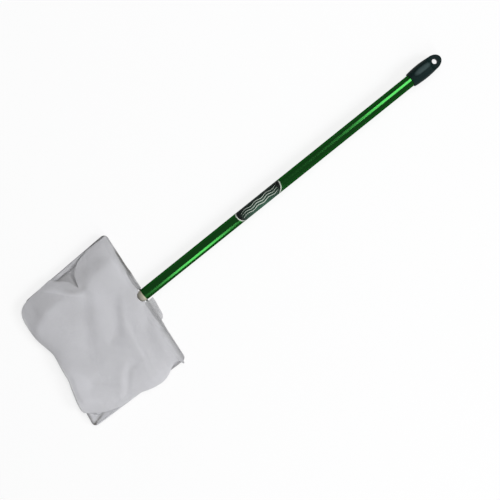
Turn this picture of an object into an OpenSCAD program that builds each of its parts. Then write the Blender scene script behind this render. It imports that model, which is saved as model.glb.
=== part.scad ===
// Fine mesh pond net: a tube pole with a hang cap, and a wire rim with a mesh bag lying over it.
// The net is drawn as it lies on a floor, mouth down, with the bag on top of the rim.
// Sub-parts are drawn flat first: the pole's axis is X, the tube's net end is x = 0,
// and the wire lies in the plane z = 0. lie() then tilts and lifts the whole net onto the floor.

/* [Pole] */
// Outside diameter of the pole tube
pole_d = 20; // [16:0.5:26]
// Wall of the pole tube
pole_wall = 1; // [0.8:0.1:2]
// Length of the pole tube
pole_len = 600; // [400:10:1000]

/* [Label] */
// Length of the label along the pole
label_len = 94; // [50:1:110]
// Distance from the net end of the tube to the middle of the label
label_at = 247; // [150:1:300]
// Angle of the tube that the label wraps
label_wrap = 144; // [90:2:160]
// Thickness of the label film
label_t = 0.3; // [0.2:0.05:0.5]
// Corner radius of the label
label_corner = 5; // [2:0.5:7]

/* [Hang cap] */
// Length of tube that the cap covers
cap_grip = 31; // [20:1:40]
// Wall of the cap at its mouth
cap_wall = 2.2; // [1.5:0.1:3]
// How much the cap swells in radius from its mouth to its belly
cap_swell = 1.6; // [0.5:0.1:2.5]
// Length of the solid end past the tube
cap_end = 32; // [28:1:40]
// Length of the rounded tip
cap_tip = 17; // [12:1:20]
// Thickness of the flat tab round the hang hole
tab_t = 8; // [5:0.5:10]
// Radius of the thumb scoop that leads to the tab
scoop_r = 8; // [5:0.5:10]
// Diameter of the hang hole
hang_hole_d = 9; // [6:0.5:10]
// Distance from the tip of the cap to the middle of the hang hole
hang_hole_in = 13; // [11:0.5:16]

/* [Bung] */
// Length of the domed head outside the tube
bung_head = 12; // [9:0.5:16]
// Length of the stem inside the tube
bung_stem = 40; // [32:1:60]
// How far the head overhangs the tube's bore, in radius
bung_lip = 0.4; // [0.2:0.1:0.8]
// Number of push-fit ribs on the stem
bung_ribs = 3; // [2:1:4]

/* [Wire rim] */
// Diameter of the rim wire
wire_d = 3; // [2.5:0.1:3.5]
// Width of the mouth at the pole, between wire centres
rim_w = 244; // [180:1:300]
// How far the pole stands off the middle of the mouth, towards the left arm
pole_off = 3.5; // [-10:0.5:10]
// Length of the left arm
arm_left = 172; // [140:1:200]
// Length of the right arm
arm_right = 187; // [150:1:220]
// Angle by which the wire beside the pole leans off square
rim_rake = 5.9; // [0:0.1:8]
// Angle by which each arm toes in towards the far side
arm_toe = 1.8; // [0:0.1:2]
// Bend radius at the four rim corners
corner_r = 6; // [5:0.5:12]
// Distance from the tube's end to the wire beside it
wire_off = 1; // [0.8:0.1:5]
// Distance between the two wire shanks in the bung
shank_gap = 8; // [7:0.5:9]
// Bend radius where the wire turns into the bung
shank_bend = 4.5; // [4:0.1:5]
// Length of the wire shanks inside the tube
shank_len = 32; // [20:1:36]

/* [Bag] */
// Thickness of the mesh where it is folded and sewn, and of the bag's panels
mesh_t = 1.2; // [0.8:0.1:1.5]
// Wall of the sleeve that the wire runs in
sleeve_wall = 0.5; // [0.4:0.1:1]
// Width of the hem, from the wire inwards
hem_w = 11; // [8:0.5:16]
// Gap between the pole's side and each cut end of the hem
hem_gap = 2; // [1:0.5:6]
// Length of the loose hem end beside the pole
flap_len = 42; // [20:1:60]
// How far the loose hem end stands out past the wire
flap_out = 12; // [6:0.5:16]
// How far the bag's bottom edge reaches past the far wire at the left corner
bag_over = 26; // [10:1:34]
// How far the bag's bottom edge reaches past the far wire at its right end
bag_over_right = 3; // [0:0.5:10]
// Corner radius of the bag's bottom edge on the left
bag_corner = 30; // [15:1:40]
// How far the bag's bottom edge stops short of the right arm
bag_short = 28; // [5:1:40]
// How far the bag swells out past the right arm's wire
bag_swell = 8; // [4:0.5:16]
// Height of the bag's crown over the rim
crown = 9; // [6:0.5:20]
// How far the bag's back panel is folded in from the far wire
fold_in = 80; // [60:1:90]
// Distance from the far wire to where the back panel meets the floor
lay_from = 40; // [30:1:50]
// Inside radius of the back panel's fold
fold_r = 1.5; // [1:0.1:2.5]
// Diameter of the overlocked seam along the bag's bottom edge
seam_d = 2.4; // [1.6:0.1:3]

/* [Clearances] */
// Gap all round the wire in its sleeve and in the bung
wire_clear = 0.1; // [0.05:0.05:0.3]
// Radial gap of the push fits in the tube and in the cap
push_clear = 0.05; // [0.02:0.01:0.1]
// Gap between a soft piece and its neighbour
soft_clear = 0.3; // [0.2:0.05:0.5]

/* [Hidden] */
$fn = 64;
joint_overlap = 0.01;

// Pole and cap
pole_r = pole_d / 2;
bore_r = pole_r - pole_wall;
cap_mouth_x = pole_len - cap_grip;
cap_tip_x = pole_len + cap_end;
cap_mouth_r = pole_r + cap_wall;
cap_belly_r = cap_mouth_r + cap_swell;
cap_belly_x = cap_mouth_x + (cap_tip_x - cap_tip - cap_mouth_x) / 2;
hang_hole_x = cap_tip_x - hang_hole_in;

// Wire rim: near is the side beside the pole, left is +Y
rake_slope = tan(rim_rake);
function near_point(y) = [-wire_off + rake_slope * y, y];
shank_y = shank_gap / 2;
left_y = rim_w / 2 - pole_off;
right_y = -rim_w / 2 - pole_off;
near_left = near_point(left_y);
near_right = near_point(right_y);
far_left = near_left - arm_left * [cos(arm_toe), sin(arm_toe)];
far_right = near_right - arm_right * [cos(arm_toe), -sin(arm_toe)];
rim_corners = [near_right, far_right, far_left, near_left];
function unit(v) = v / norm(v);
function corner_rays(i) = [for (k = [3, 1]) unit(rim_corners[(i + k) % 4] - rim_corners[i])];
sharpest_half = min([for (i = [0 : 3]) let (ray = corner_rays(i)) acos(ray[0] * ray[1]) / 2]);
wire_r = wire_d / 2;
wire_path = [
    [shank_len, -shank_y], near_point(-shank_y), each rim_corners,
    near_point(shank_y), [shank_len, shank_y]
];
wire_bends = [shank_bend, for (c = rim_corners) corner_r, shank_bend];

// Bag and hem
sleeve_r = wire_r + wire_clear + sleeve_wall;
hem_end = pole_r + hem_gap;
hem_path = [near_point(-hem_end), each rim_corners, near_point(hem_end)];
hem_bends = [for (c = rim_corners) corner_r];
panel_inset = corner_r - (corner_r - sleeve_r - soft_clear) * sin(sharpest_half);
panel_low_z = mesh_t / 2 + soft_clear;
back_high_z = sleeve_r + soft_clear;
panel_far_z = back_high_z + mesh_t + soft_clear;

// Rest on the floor: on the cap's belly, the tube's net end and the folded back panel
tilt_slope = (cap_belly_r - pole_r) / cap_belly_x;
middle = [(cap_tip_x + far_right.x - sleeve_r) / 2, (left_y + sleeve_r + right_y - bag_swell) / 2];
function floor_z(x) = -pole_r - x * tilt_slope;

module lie() {
    translate([-middle.x, -middle.y, pole_r]) rotate([0, -atan(tilt_slope), 0]) children();
}

// Turns a revolved profile, drawn up +Z, to lie along the pole
module along_pole(x) {
    translate([x, 0, 0]) rotate([0, 90, 0]) children();
}

// Bent rod: straight runs between points, with a round bend at each inner point.
// It is drawn as a chain, each run starting where the bend before it ends.
// A bend is a hair thicker than its runs, which lap into it.

bend_swell = 0.02;
bend_lap = 0.3;
function heading(v) = atan2(v.y, v.x);
function turn_at(p, i) =
    let (before = p[i] - p[i - 1], after = p[i + 1] - p[i])
    atan2(cross(before, after), before * after);
function bend_reach(p, bends, i) =
    i == 0 || i == len(p) - 1 ? 0 : bends[i - 1] * tan(abs(turn_at(p, i)) / 2);

// Quarter or so of a ring, from the origin along +X and curving towards +Y
module rod_bend(bend, angle, r) {
    translate([0, bend, 0]) rotate(-90) rotate_extrude(angle = angle) translate([bend, 0]) circle(r);
}

module rod_run(p, bends, r, i = 0) {
    straight = norm(p[i + 1] - p[i]) - bend_reach(p, bends, i) - bend_reach(p, bends, i + 1);
    lap_before = i == 0 ? 0 : bend_lap;
    lap_after = i == len(p) - 2 ? 0 : bend_lap;
    translate([-lap_before, 0, 0])
        rotate([0, 90, 0]) cylinder(r = r, h = straight + lap_before + lap_after);
    if (i < len(p) - 2) {
        turn = turn_at(p, i + 1);
        bend = bends[i] * sign(turn);
        translate([straight, 0, 0]) {
            mirror([0, turn < 0 ? 1 : 0, 0]) rod_bend(bends[i], abs(turn), r + bend_swell);
            translate([0, bend, 0]) rotate(turn) translate([0, -bend, 0]) rod_run(p, bends, r, i + 1);
        }
    }
}

module bent_rod(p, bends, r) {
    translate([p[0].x, p[0].y, 0]) rotate(heading(p[1] - p[0])) rod_run(p, bends, r);
}

// Rim outline moved in by d on every side
function rim_inset(d) = [
    for (i = [0 : 3])
        let (ray = corner_rays(i))
        rim_corners[i] + (ray[0] + ray[1]) * d / abs(cross(ray[0], ray[1]))
];

// Pole: its net end is notched where the wire leans against it

module pole_tube() {
    color("forestgreen")
    lie()
        difference() {
            along_pole(0) cylinder(r = pole_r, h = pole_len);
            along_pole(-joint_overlap) cylinder(r = bore_r, h = pole_len + 2 * joint_overlap);
            bent_rod(wire_path, wire_bends, wire_r + wire_clear);
        }
}

module pole_label() {
    film_r = pole_r + push_clear;
    label_w = 2 * film_r * sin(label_wrap / 2);
    color("black")
    lie()
        intersection() {
            along_pole(label_at - label_len / 2)
                difference() {
                    cylinder(r = film_r + label_t, h = label_len);
                    translate([0, 0, -joint_overlap]) cylinder(r = film_r, h = label_len + 2 * joint_overlap);
                }
            translate([label_at, 0, 0])
                linear_extrude(pole_d) rounded_plate(label_len, label_w, label_corner);
        }
}

module rounded_plate(length, width, r) {
    square([length - 2 * r, width], center = true);
    square([length, width - 2 * r], center = true);
    for (sx = [-1, 1], sy = [-1, 1])
        translate([sx * (length / 2 - r), sy * (width / 2 - r)]) circle(r);
}

// Hang cap: a swelling barrel, scooped to a flat tab round the hang hole

cap_steps = 12;
tip_from_x = cap_tip_x - cap_tip;
function cap_barrel_r(x) =
    cap_belly_r - cap_swell * pow((x - cap_belly_x) / (cap_belly_x - cap_mouth_x), 2);
function cap_tip_r(a) = cap_barrel_r(tip_from_x) * cos(a);

module cap_outline() {
    polygon([
        [0, cap_mouth_x],
        for (i = [0 : cap_steps])
            let (x = cap_mouth_x + (tip_from_x - cap_mouth_x) * i / cap_steps)
            [cap_barrel_r(x), x],
        for (i = [1 : cap_steps])
            let (a = 90 * i / cap_steps)
            [cap_tip_r(a), tip_from_x + cap_tip * sin(a)]
    ]);
}

module thumb_scoop() {
    scoop_x = hang_hole_x - scoop_r / 2;
    translate([0, 0, tab_t / 2 + scoop_r]) {
        translate([scoop_x, 0, 0]) rotate([90, 0, 0]) cylinder(r = scoop_r, h = 4 * pole_d, center = true);
        translate([scoop_x, -2 * pole_d, -scoop_r]) cube([cap_end, 4 * pole_d, 2 * pole_d]);
        translate([scoop_x - scoop_r, -2 * pole_d, 0]) cube([cap_end, 4 * pole_d, 2 * pole_d]);
    }
}

module hang_cap() {
    color("darkslategray")
    lie()
        difference() {
            along_pole(0) rotate_extrude() cap_outline();
            along_pole(cap_mouth_x - joint_overlap)
                cylinder(r = pole_r + push_clear, h = cap_grip + push_clear + joint_overlap);
            thumb_scoop();
            mirror([0, 0, 1]) thumb_scoop();
            translate([hang_hole_x, 0, 0]) cylinder(d = hang_hole_d, h = 2 * pole_d, center = true);
        }
}

// Bung: a domed head over the tube's end, and a ribbed stem in its bore

dome_steps = 10;
dome_share = 0.6;
stem_slack = 0.3;
rib_w = 2;
head_r = bore_r + bung_lip;

module bung_outline() {
    dome = bung_head * dome_share;
    stem_r = bore_r - stem_slack;
    rib_r = bore_r - push_clear;
    rib_pitch = (bung_stem - 2 * rib_w) / bung_ribs;
    polygon([
        for (i = [0 : dome_steps])
            let (a = 90 * i / dome_steps)
            [head_r * sin(a), -bung_head + dome * (1 - cos(a))],
        [head_r, 0],
        [stem_r, 0],
        for (i = [1 : bung_ribs])
            let (x = i * rib_pitch)
            each [[stem_r, x - rib_w], [rib_r, x - rib_w / 2], [rib_r, x], [stem_r, x + rib_w]],
        [stem_r, bung_stem - rib_w],
        [stem_r - rib_w, bung_stem],
        [0, bung_stem]
    ]);
}

module frame_bung() {
    color("wheat")
    lie()
        difference() {
            along_pole(0) rotate_extrude() bung_outline();
            bent_rod(wire_path, wire_bends, wire_r + wire_clear);
        }
}

// Wire rim

module rim_wire() {
    color("gray")
    lie() bent_rod(wire_path, wire_bends, wire_r);
}

// Hem: a sleeve round the wire, a flat sewn band inside it and a loose end beside the pole

flap_steps = 12;
band_inset = sleeve_r / 2;

module hem_band() {
    linear_extrude(mesh_t, center = true)
        difference() {
            polygon(rim_inset(band_inset));
            polygon(rim_inset(hem_w));
            translate([-2 * hem_w, -hem_end]) square([4 * hem_w, 2 * hem_end]);
        }
}

module hem_flap() {
    linear_extrude(mesh_t, center = true)
        polygon([
            near_point(-hem_end - flap_len),
            near_point(-hem_end),
            for (i = [0 : flap_steps])
                let (a = 90 * i / flap_steps)
                near_point(-hem_end - flap_len * sin(a)) + [sleeve_r / 2 + flap_out * cos(a), 0]
        ]);
}

module rim_hem() {
    color("gainsboro")
    lie()
        difference() {
            union() {
                bent_rod(hem_path, hem_bends, sleeve_r);
                hem_band();
                hem_flap();
            }
            bent_rod(wire_path, wire_bends, wire_r + wire_clear);
        }
}

// Bag: the front panel lies over the mouth, and the back panel is folded in under it

panel_rows = 24;
panel_cols = 20;
cut_from = 0.68;
climb_from = 0.55;
climb_to = 0.78;
swell_from = 0.06;
swell_to = 0.58;
swell_lap = 0.06;
swell_flat = 0.16;
crown_skew_s = 0.8;
crown_skew_t = 0.9;
panel_rim = rim_inset(panel_inset);
bag_far_left = panel_rim[2] + [-bag_over, 0];

function blend(a, b, f) = a + (b - a) * f;
function ease(f) = let (g = min(max(f, 0), 1)) g * g * (3 - 2 * g);
// Row position, from 0 at the hem beside the pole to 1 at the bag's bottom edge
function row_at(i) = sin(90 * i / panel_rows);
// How far the rounded left corner of the bottom edge draws in at row s
function corner_in(s) =
    let (d = bag_corner - (1 - s) * norm(bag_far_left - panel_rim[3]))
    d <= 0 ? 0 : bag_corner - sqrt(bag_corner * bag_corner - d * d);
function left_edge(s) = blend(panel_rim[3], bag_far_left, s) - [0, corner_in(s)];
// How much of its full swell over the right arm the panel has at row s
function swell_at(s) = s < swell_from || s > swell_to ? 0
    : pow(sin(180 * (s - swell_from) / (swell_to - swell_from)), 2);
// The panel is lifted clear of the sleeve before it swells out over it
function over_sleeve(s, t) =
    ease(s / swell_from) * ease((swell_to + swell_from - s) / swell_from)
    * ease((swell_flat - t) / (swell_flat - swell_lap));
function right_edge(s) =
    let (cut = max(s - cut_from, 0) / (1 - cut_from))
    blend(panel_rim[0], panel_rim[1], s) + [-bag_over_right, bag_short] * cut
    - [0, (bag_swell + panel_inset) * swell_at(s)];
function panel_z(s, t) =
    blend(panel_low_z, panel_far_z, ease((s - climb_from) / (climb_to - climb_from)))
    + crown * sin(180 * pow(t, crown_skew_t)) * sin(180 * pow(s, crown_skew_s))
    + (sleeve_r + soft_clear - panel_low_z) * over_sleeve(s, t);
function panel_point(s, t) =
    let (p = blend(right_edge(s), left_edge(s), t))
    [p.x, p.y, panel_z(s, t)];

// Closed sheet over a grid of points: rows of equal length, thickened upwards
module thick_sheet(grid, thick) {
    rows = len(grid);
    cols = len(grid[0]);
    count = rows * cols;
    under = [for (row = grid, p = row) p];
    over = [for (p = under) p + [0, 0, thick]];
    cells = [for (i = [0 : rows - 2], j = [0 : cols - 2]) i * cols + j];
    rim = [
        for (j = [0 : cols - 2]) j,
        for (i = [0 : rows - 2]) i * cols + cols - 1,
        for (j = [cols - 1 : -1 : 1]) (rows - 1) * cols + j,
        for (i = [rows - 1 : -1 : 1]) i * cols
    ];
    edges = [for (k = [0 : len(rim) - 1]) [rim[k], rim[(k + 1) % len(rim)]]];
    polyhedron(
        points = concat(under, over),
        faces = [
            for (c = cells) each [[c, c + cols, c + 1], [c + 1, c + cols, c + cols + 1]],
            for (c = cells) let (k = c + count)
                each [[k, k + 1, k + cols], [k + 1, k + cols + 1, k + cols]],
            for (e = edges)
                each [[e[0], e[1], e[0] + count], [e[1], e[1] + count, e[0] + count]]
        ]
    );
}

module bag_front_panel() {
    head_room = head_r + soft_clear;
    color("whitesmoke")
    lie()
        difference() {
            thick_sheet(
                [for (i = [0 : panel_rows]) [for (j = [0 : panel_cols]) panel_point(row_at(i), j / panel_cols)]],
                mesh_t
            );
            along_pole(-bung_head - soft_clear) cylinder(r = head_room, h = 2 * bung_head);
        }
}

// Back panel: from the far hem down to the floor, round a fold, and back over the far wire

fold_steps = 8;
far_along = unit(far_left - far_right);
back_side_gap = hem_w + soft_clear;
function back_floor_z(u) = floor_z(far_right.x + u);

function fold_arc(r, from, to) = [
    for (i = [0 : fold_steps])
        let (a = from + (to - from) * i / fold_steps)
        [fold_in + r * cos(a), back_floor_z(fold_in) + mesh_t + fold_r + r * sin(a)]
];
bag_outline = [
    right_edge(0),
    right_edge(cut_from),
    right_edge(1),
    for (i = [panel_rows : -1 : 0]) left_edge(row_at(i))
];

module bag_back_panel() {
    start = far_left - far_along * back_side_gap;
    width = norm(far_left - far_right) - back_side_gap - bag_short;
    color("lightgray")
    lie()
        intersection() {
            translate([start.x, start.y, 0])
                rotate([90, 0, heading(far_along) - 90])
                    linear_extrude(width)
                        polygon([
                            [back_side_gap, -mesh_t / 2],
                            [lay_from, back_floor_z(lay_from)],
                            each fold_arc(fold_r + mesh_t, -90, 90),
                            [back_side_gap, back_high_z + mesh_t],
                            [-bag_over, back_high_z + mesh_t],
                            [-bag_over, back_high_z],
                            [back_side_gap, back_high_z],
                            each fold_arc(fold_r, 90, -90),
                            [lay_from, back_floor_z(lay_from) + mesh_t],
                            [back_side_gap, mesh_t / 2]
                        ]);
            linear_extrude(4 * pole_r, center = true) polygon(bag_outline);
        }
}

// Seam: a round bead along the bag's free edge, from one arm round to the other

seam_rows = 6;
seam_sides = 8;
seam_path = [
    for (i = [0 : seam_rows - 1]) right_edge(blend(climb_to, 1, i / seam_rows)),
    for (j = [0 : seam_rows - 1]) blend(right_edge(1), left_edge(1), j / seam_rows),
    for (i = [panel_rows : -1 : 0]) if (row_at(i) > climb_to) left_edge(row_at(i))
];
seam_r = seam_d / 2;

function outward(k) =
    let (a = seam_path[max(k - 1, 0)], b = seam_path[min(k + 1, len(seam_path) - 1)])
    let (d = unit(b - a))
    [-d.y, d.x];
function seam_ring(k) = [
    for (j = [0 : seam_sides - 1])
        let (a = 360 * j / seam_sides, out = outward(k) * (soft_clear + seam_r + seam_r * cos(a)))
        [seam_path[k].x + out.x, seam_path[k].y + out.y, panel_far_z + mesh_t / 2 + seam_r * sin(a)]
];

module bag_seam() {
    rings = len(seam_path);
    last = (rings - 1) * seam_sides;
    color("white")
    lie()
        polyhedron(
            points = [for (k = [0 : rings - 1]) each seam_ring(k)],
            faces = [
                for (k = [0 : rings - 2], j = [0 : seam_sides - 1])
                    let (a = k * seam_sides + j, b = k * seam_sides + (j + 1) % seam_sides)
                    each [[a, b, a + seam_sides], [b, b + seam_sides, a + seam_sides]],
                for (j = [1 : seam_sides - 2]) each [[0, j + 1, j], [last, last + j, last + j + 1]]
            ]
        );
}

pole_tube();
hang_cap();
pole_label();
frame_bung();
rim_wire();
rim_hem();
bag_front_panel();
bag_back_panel();
bag_seam();
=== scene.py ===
"""Looks of a fine mesh pond net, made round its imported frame.

The net is described flat, as it is bent and sewn: X runs along the pole from the tube's net end,
Y is to the left and Z is up from the rim wire, all in millimetres. lay() sets such points down on
the floor, in metres.
"""

import math

import bmesh
import bpy
import numpy as np
from bpy.props import FloatProperty, FloatVectorProperty, PointerProperty
from mathutils import Matrix, Vector, noise


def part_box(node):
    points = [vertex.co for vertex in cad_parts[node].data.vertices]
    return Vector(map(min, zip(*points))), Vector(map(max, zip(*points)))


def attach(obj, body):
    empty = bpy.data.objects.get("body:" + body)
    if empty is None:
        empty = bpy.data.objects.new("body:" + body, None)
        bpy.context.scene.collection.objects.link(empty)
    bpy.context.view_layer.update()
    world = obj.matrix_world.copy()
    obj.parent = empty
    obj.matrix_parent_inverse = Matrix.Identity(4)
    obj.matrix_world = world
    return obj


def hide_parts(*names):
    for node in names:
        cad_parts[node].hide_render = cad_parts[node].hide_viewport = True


bl_info = {
    "name": "Pond net looks",
    "version": (1, 0, 0),
    "blender": (4, 5, 0),
    "location": "View3D > Sidebar > Pond net",
    "description": "Dresses the packed pond net in anodised tube, moulded plastic and sewn mesh",
    "category": "Object",
}

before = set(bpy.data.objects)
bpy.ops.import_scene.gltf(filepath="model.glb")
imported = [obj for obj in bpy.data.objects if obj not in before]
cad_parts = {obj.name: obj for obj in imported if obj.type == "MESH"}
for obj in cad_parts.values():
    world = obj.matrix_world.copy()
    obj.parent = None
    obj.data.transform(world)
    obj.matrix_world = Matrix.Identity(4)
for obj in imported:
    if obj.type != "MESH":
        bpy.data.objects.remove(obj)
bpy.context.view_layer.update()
BODY = "root"
MM = 0.001

# Where the net lies: its flat frame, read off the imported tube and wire
TUBE_LOW, TUBE_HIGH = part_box("pole_tube")
POLE_R = (TUBE_HIGH.y - TUBE_LOW.y) / 2
TILT = (TUBE_HIGH.z - TUBE_LOW.z - 2 * POLE_R) / (TUBE_HIGH.x - TUBE_LOW.x)
NET_END = Vector((TUBE_LOW.x, TUBE_LOW.y + POLE_R, TUBE_LOW.z + POLE_R))

# Rim wire, as it is bent
WIRE_R = 1.5
WIRE_OFF = 1.0
RAKE = math.tan(math.radians(5.9))
TOE = math.tan(math.radians(1.8))
ARM_LEFT = 172.0
ARM_RIGHT = 187.0
CORNER_R = 6.0
BEND_STEPS = 8
RIM_STEP = 2.0
LEFT_Y = (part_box("rim_wire")[1].y - NET_END.y) / MM - WIRE_R
RIGHT_Y = (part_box("rim_wire")[0].y - NET_END.y) / MM + WIRE_R

# Hem, round the wire: where it ends beside the pole, its stitches, and how far past them the bag is sewn
HEM_END = 12.0
STITCH_IN = 9.0
PAST_STITCHES = 1.0

# Front panel: its lips and bottom edge as they lie, each from its near or right end
RIGHT_LIP = [
    (-14.5, -119.5), (-16.8, -124.5), (-18.8, -130.8), (-20.8, -127), (-23.5, -121.6), (-28, -119.9),
    (-34, -121), (-42, -124.5), (-50, -129), (-63, -132.5), (-76, -131.8), (-90, -128.8), (-103, -124.4),
    (-114, -122.8), (-131, -121.4), (-148, -119.8), (-160, -116.6), (-170, -112.2), (-179, -107),
    (-188, -101.2), (-194, -96.8), (-200, -91),
]
LEFT_LIP = [
    (10, 116.0), (-14, 116.3), (-34, 117.4), (-60, 117.7), (-105, 116.6), (-140, 114.2), (-158, 112.6),
    (-169, 109.8), (-176.5, 104), (-180.5, 97.5), (-182, 93),
]
FAR_EDGE = [
    (-200, -91), (-200.8, -84), (-196.7, -67), (-191.7, -50.6), (-186.2, -34), (-183.8, -17),
    (-181.2, -0.5), (-179.2, 16), (-182.1, 33), (-185.4, 49.5), (-185.8, 66), (-184.2, 83), (-182, 93),
]
PANEL_ROWS = 170
PANEL_COLS = 210

# How far inside the near wire the front panel's lip lies, by its place across the net
NEAR_LIP = [
    (-75, 1.2), (-60, 3.2), (-46, 4.2), (-34, 5.2), (-22, 6.0), (-14, 5.6), (-10, 3.2), (10, 3.2),
    (15, 3.8), (20, 4.8), (26, 5.8), (36, 6.0), (46, 4.6), (60, 3.2), (70, 2.8), (80, 1.6), (94, 0.6),
]

# Right and left end of the near wire's bare stretch beside the pole, each with the length it fades over
BARE_RIGHT = (-68.0, 14.0)
BARE_LEFT = (58.0, 16.0)

# Shoulder of the front panel, from which it slopes down to the left arm
SHOULDER = [
    (-186, 57), (-176, 64), (-162, 73), (-143, 79), (-118, 80), (-98, 75), (-77, 69), (-51, 75),
    (-20, 77), (10, 75),
]

# Gusset at the middle of the left arm, where the bag's side is tucked in: its middle, how much lower
# the cloth lies there, how far that reaches along the arm to the far and near side and inward, and the
# depth of the tuck along the arm
TUCK_X = -75.5
TUCK_LOW = 1.7
TUCK_LOW_FAR = 27.0
TUCK_LOW_NEAR = 42.0
TUCK_LOW_IN = 26.0
TUCK_DEPTH = [
    (-106.5, 0), (-103, 5.5), (-100, 8.8), (-96, 12), (-92, 15), (-88, 18.5), (-84, 23), (-80, 31),
    (-76.5, 40.5), (-73, 31), (-69.5, 19), (-66, 15.5), (-60, 12.5), (-54, 8), (-48, 5.6), (-40, 3.6),
    (-32, 1.8), (-24, 0),
]
GUSSET_FOLD = [(-186, 62), (-176, 66), (-164, 75), (-145, 82), (-126, 88), (-108, 104), (-104, 112)]

# Folds of the front panel: height, width to the left and to the right of the path, path
FOLDS = [
    (1.4, 4, 9, [(-108, 116), (-90, 95), (-72, 70)]),
    (1.4, 9, 4, [(-48, 116), (-64, 101), (-71, 90), (-80, 70)]),
    (1.2, 7, 3.0, [(-132, 116), (-108, 89.5), (-96, 76.5), (-84, 66), (-74, 58)]),
    (-0.7, 5, 6, [(-114, 110), (-97, 88), (-80, 66)]),
    (-1.2, 8, 8, [(-79, 84), (-74, 48)]),
    (-0.8, 7, 10, [(-157, 118), (-164, 66)]),
    (-1.0, 11, 11, [(-60, 103), (14, 84)]),
    (-1.1, 11, 15, [(-80, 58), (-93, 38), (-123, -14), (-142, -34)]),
    (0.9, 13, 13, [(-50, 75), (-80, 20), (-106, -34)]),
    (-1.2, 9, 11, [(-8, 26), (-48, 16), (-59, -6), (-76, -23), (-95, -28), (-128, -22)]),
    (0.8, 8, 9, [(-12, 40), (-48, -3), (-66, -50)]),
    (0.8, 5, 15, [(-52, -10), (-62, -55), (-66, -75), (-79, -115)]),
    (-1.8, 13, 13, [(0, -8), (-34, -55), (-46, -92), (-52, -124)]),
    (-1.2, 6, 7, [(-58, -88), (-79, -81), (-98, -83), (-110, -95), (-134, -122)]),
    (0.7, 9, 9, [(-76, -52), (-112, -81), (-140, -115)]),
    (-0.8, 8, 10, [(-200, -58), (-157, -70), (-124, -102)]),
    (1.1, 12, 12, [(-197, -26), (-160, -41), (-122, -58)]),
    (2.8, 22, 22, [(-190, -8), (-199, -50), (-204, -100)]),
]

# Painted light on the front panel: paler streaks and patches, as folds
PAINTED_LIGHT_PATCHES = [
    (1.7, 5, 2.6, [(-136, 120), (-108, 89.5), (-96, 76.5), (-84, 66), (-74, 58)]),
    (1.8, 13, 13, [(-184, -20), (-172, -48), (-158, -70)]),
    (0.7, 12, 12, [(-196, -66), (-178, -82), (-150, -100)]),
    (0.8, 10, 10, [(-36, -114), (-66, -124), (-104, -118)]),
    (0.7, 15, 15, [(-92, 66), (-70, 50), (-48, 32)]),
    (1.3, 12, 12, [(-184, 100), (-178, 72), (-174, 46)]),
    (0.6, 8, 8, [(-130, 112), (-118, 100), (-104, 84)]),
]

# Painted shade on it: darker bands and patches, as folds
PAINTED_SHADE_PATCHES = [
    (0.8, 14, 14, [(-26, -24), (-37, -59), (-48, -98)]),
    (0.5, 16, 16, [(-124, 66), (-104, 44), (-92, 16)]),
    (0.4, 10, 10, [(-80, -72), (-98, -82), (-116, -74)]),
    (2.2, 5, 5, [(-100, 90), (-92, 80), (-86, 74.5), (-78, 70.5), (-70, 70), (-56, 74)]),
    (1.6, 10, 10, [(-86, 78), (-70, 84), (-58, 90), (-40, 96)]),
    (0.7, 9, 9, [(-38, 94), (-26, 91), (-12, 88)]),
    (0.9, 12, 12, [(-12, 62), (-14, 20), (-15, -20), (-19, -64)]),
]

# Painted shade of a crease in the hem at the far right corner, as a fold
HEM_CREASE_SHADE = (9.0, 2.0, 2.0, [(-222, -124.5), (-200, -118), (-186, -114), (-168, -109)])

# Back panel: its ends along the far hem, and its inner fold as it lies, from its right end
BACK_HEM = (-108, 103)
BACK_FOLD = [(-142, -99), (-146, -66), (-130, -22), (-109, 10), (-90, 42), (-79, 70), (-78, 97)]


def lay(points):
    """Points of the flat net, in millimetres, as they lie on the floor, in metres."""
    p = np.asarray(points, float) * MM
    turned = np.stack([p[..., 0] - TILT * p[..., 2], p[..., 1], p[..., 2] + TILT * p[..., 0]], axis=-1)
    return turned + np.array(NET_END)


def ease(share):
    """Smooth step from 0 to 1."""
    f = np.clip(share, 0, 1)
    return f * f * (3 - 2 * f)


CURVE_STEPS = 24


def smooth_curve(points, count):
    """Evenly spaced points on a smooth curve through given points."""
    p = np.asarray(points, float)
    p = np.vstack([2 * p[0] - p[1], p, 2 * p[-1] - p[-2]])
    t = np.linspace(0, 1, CURVE_STEPS, endpoint=False)[:, None]
    runs = [
        0.5 * (2 * b + (c - a) * t + (2 * a - 5 * b + 4 * c - d) * t**2 + (3 * b - a - 3 * c + d) * t**3)
        for a, b, c, d in zip(p, p[1:], p[2:], p[3:])
    ]
    return even_points(np.vstack([*runs, p[-2:-1]]), count)


def run_length(line):
    """Length along a line of points, at each of them."""
    steps = np.linalg.norm(np.diff(line, axis=0), axis=1)
    return np.concatenate([[0], np.cumsum(steps)])


def even_points(line, count):
    """Points at even distances along a line."""
    run = run_length(line)
    at = np.linspace(0, run[-1], count)
    return np.column_stack([np.interp(at, run, line[:, k]) for k in range(line.shape[1])])


def near_x(y):
    """X of the near wire, which is raked across the pole."""
    return -WIRE_OFF + RAKE * y


def near_lip_in(y):
    """How far inside the near wire the front panel's lip lies: the wire is barer beside the pole."""
    places, insets = np.transpose(NEAR_LIP)
    return np.interp(y, places, insets)


def past(at, ramp):
    """0 before a place and 1 past it. A ramp is its place and the length that the change takes."""
    return ease((at - ramp[0]) / ramp[1])


def stepped(at, steps):
    """A value that changes past ramps: its first value, and each change with its ramp."""
    value, changes = steps
    for change, ramp in changes:
        value = value + change * past(at, ramp)
    return value


def stretch(y, right, left):
    """1 between two ends and 0 outside them. An end is its place and the length it fades over."""
    return past(y, right) * ease((left[0] - y) / left[1])


def by_pole(y):
    """1 along the near wire beside the pole, and 0 farther out."""
    return stretch(y, BARE_RIGHT, BARE_LEFT)


def near_point(y):
    """Point of the near wire."""
    return np.array([near_x(y), y])


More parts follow.
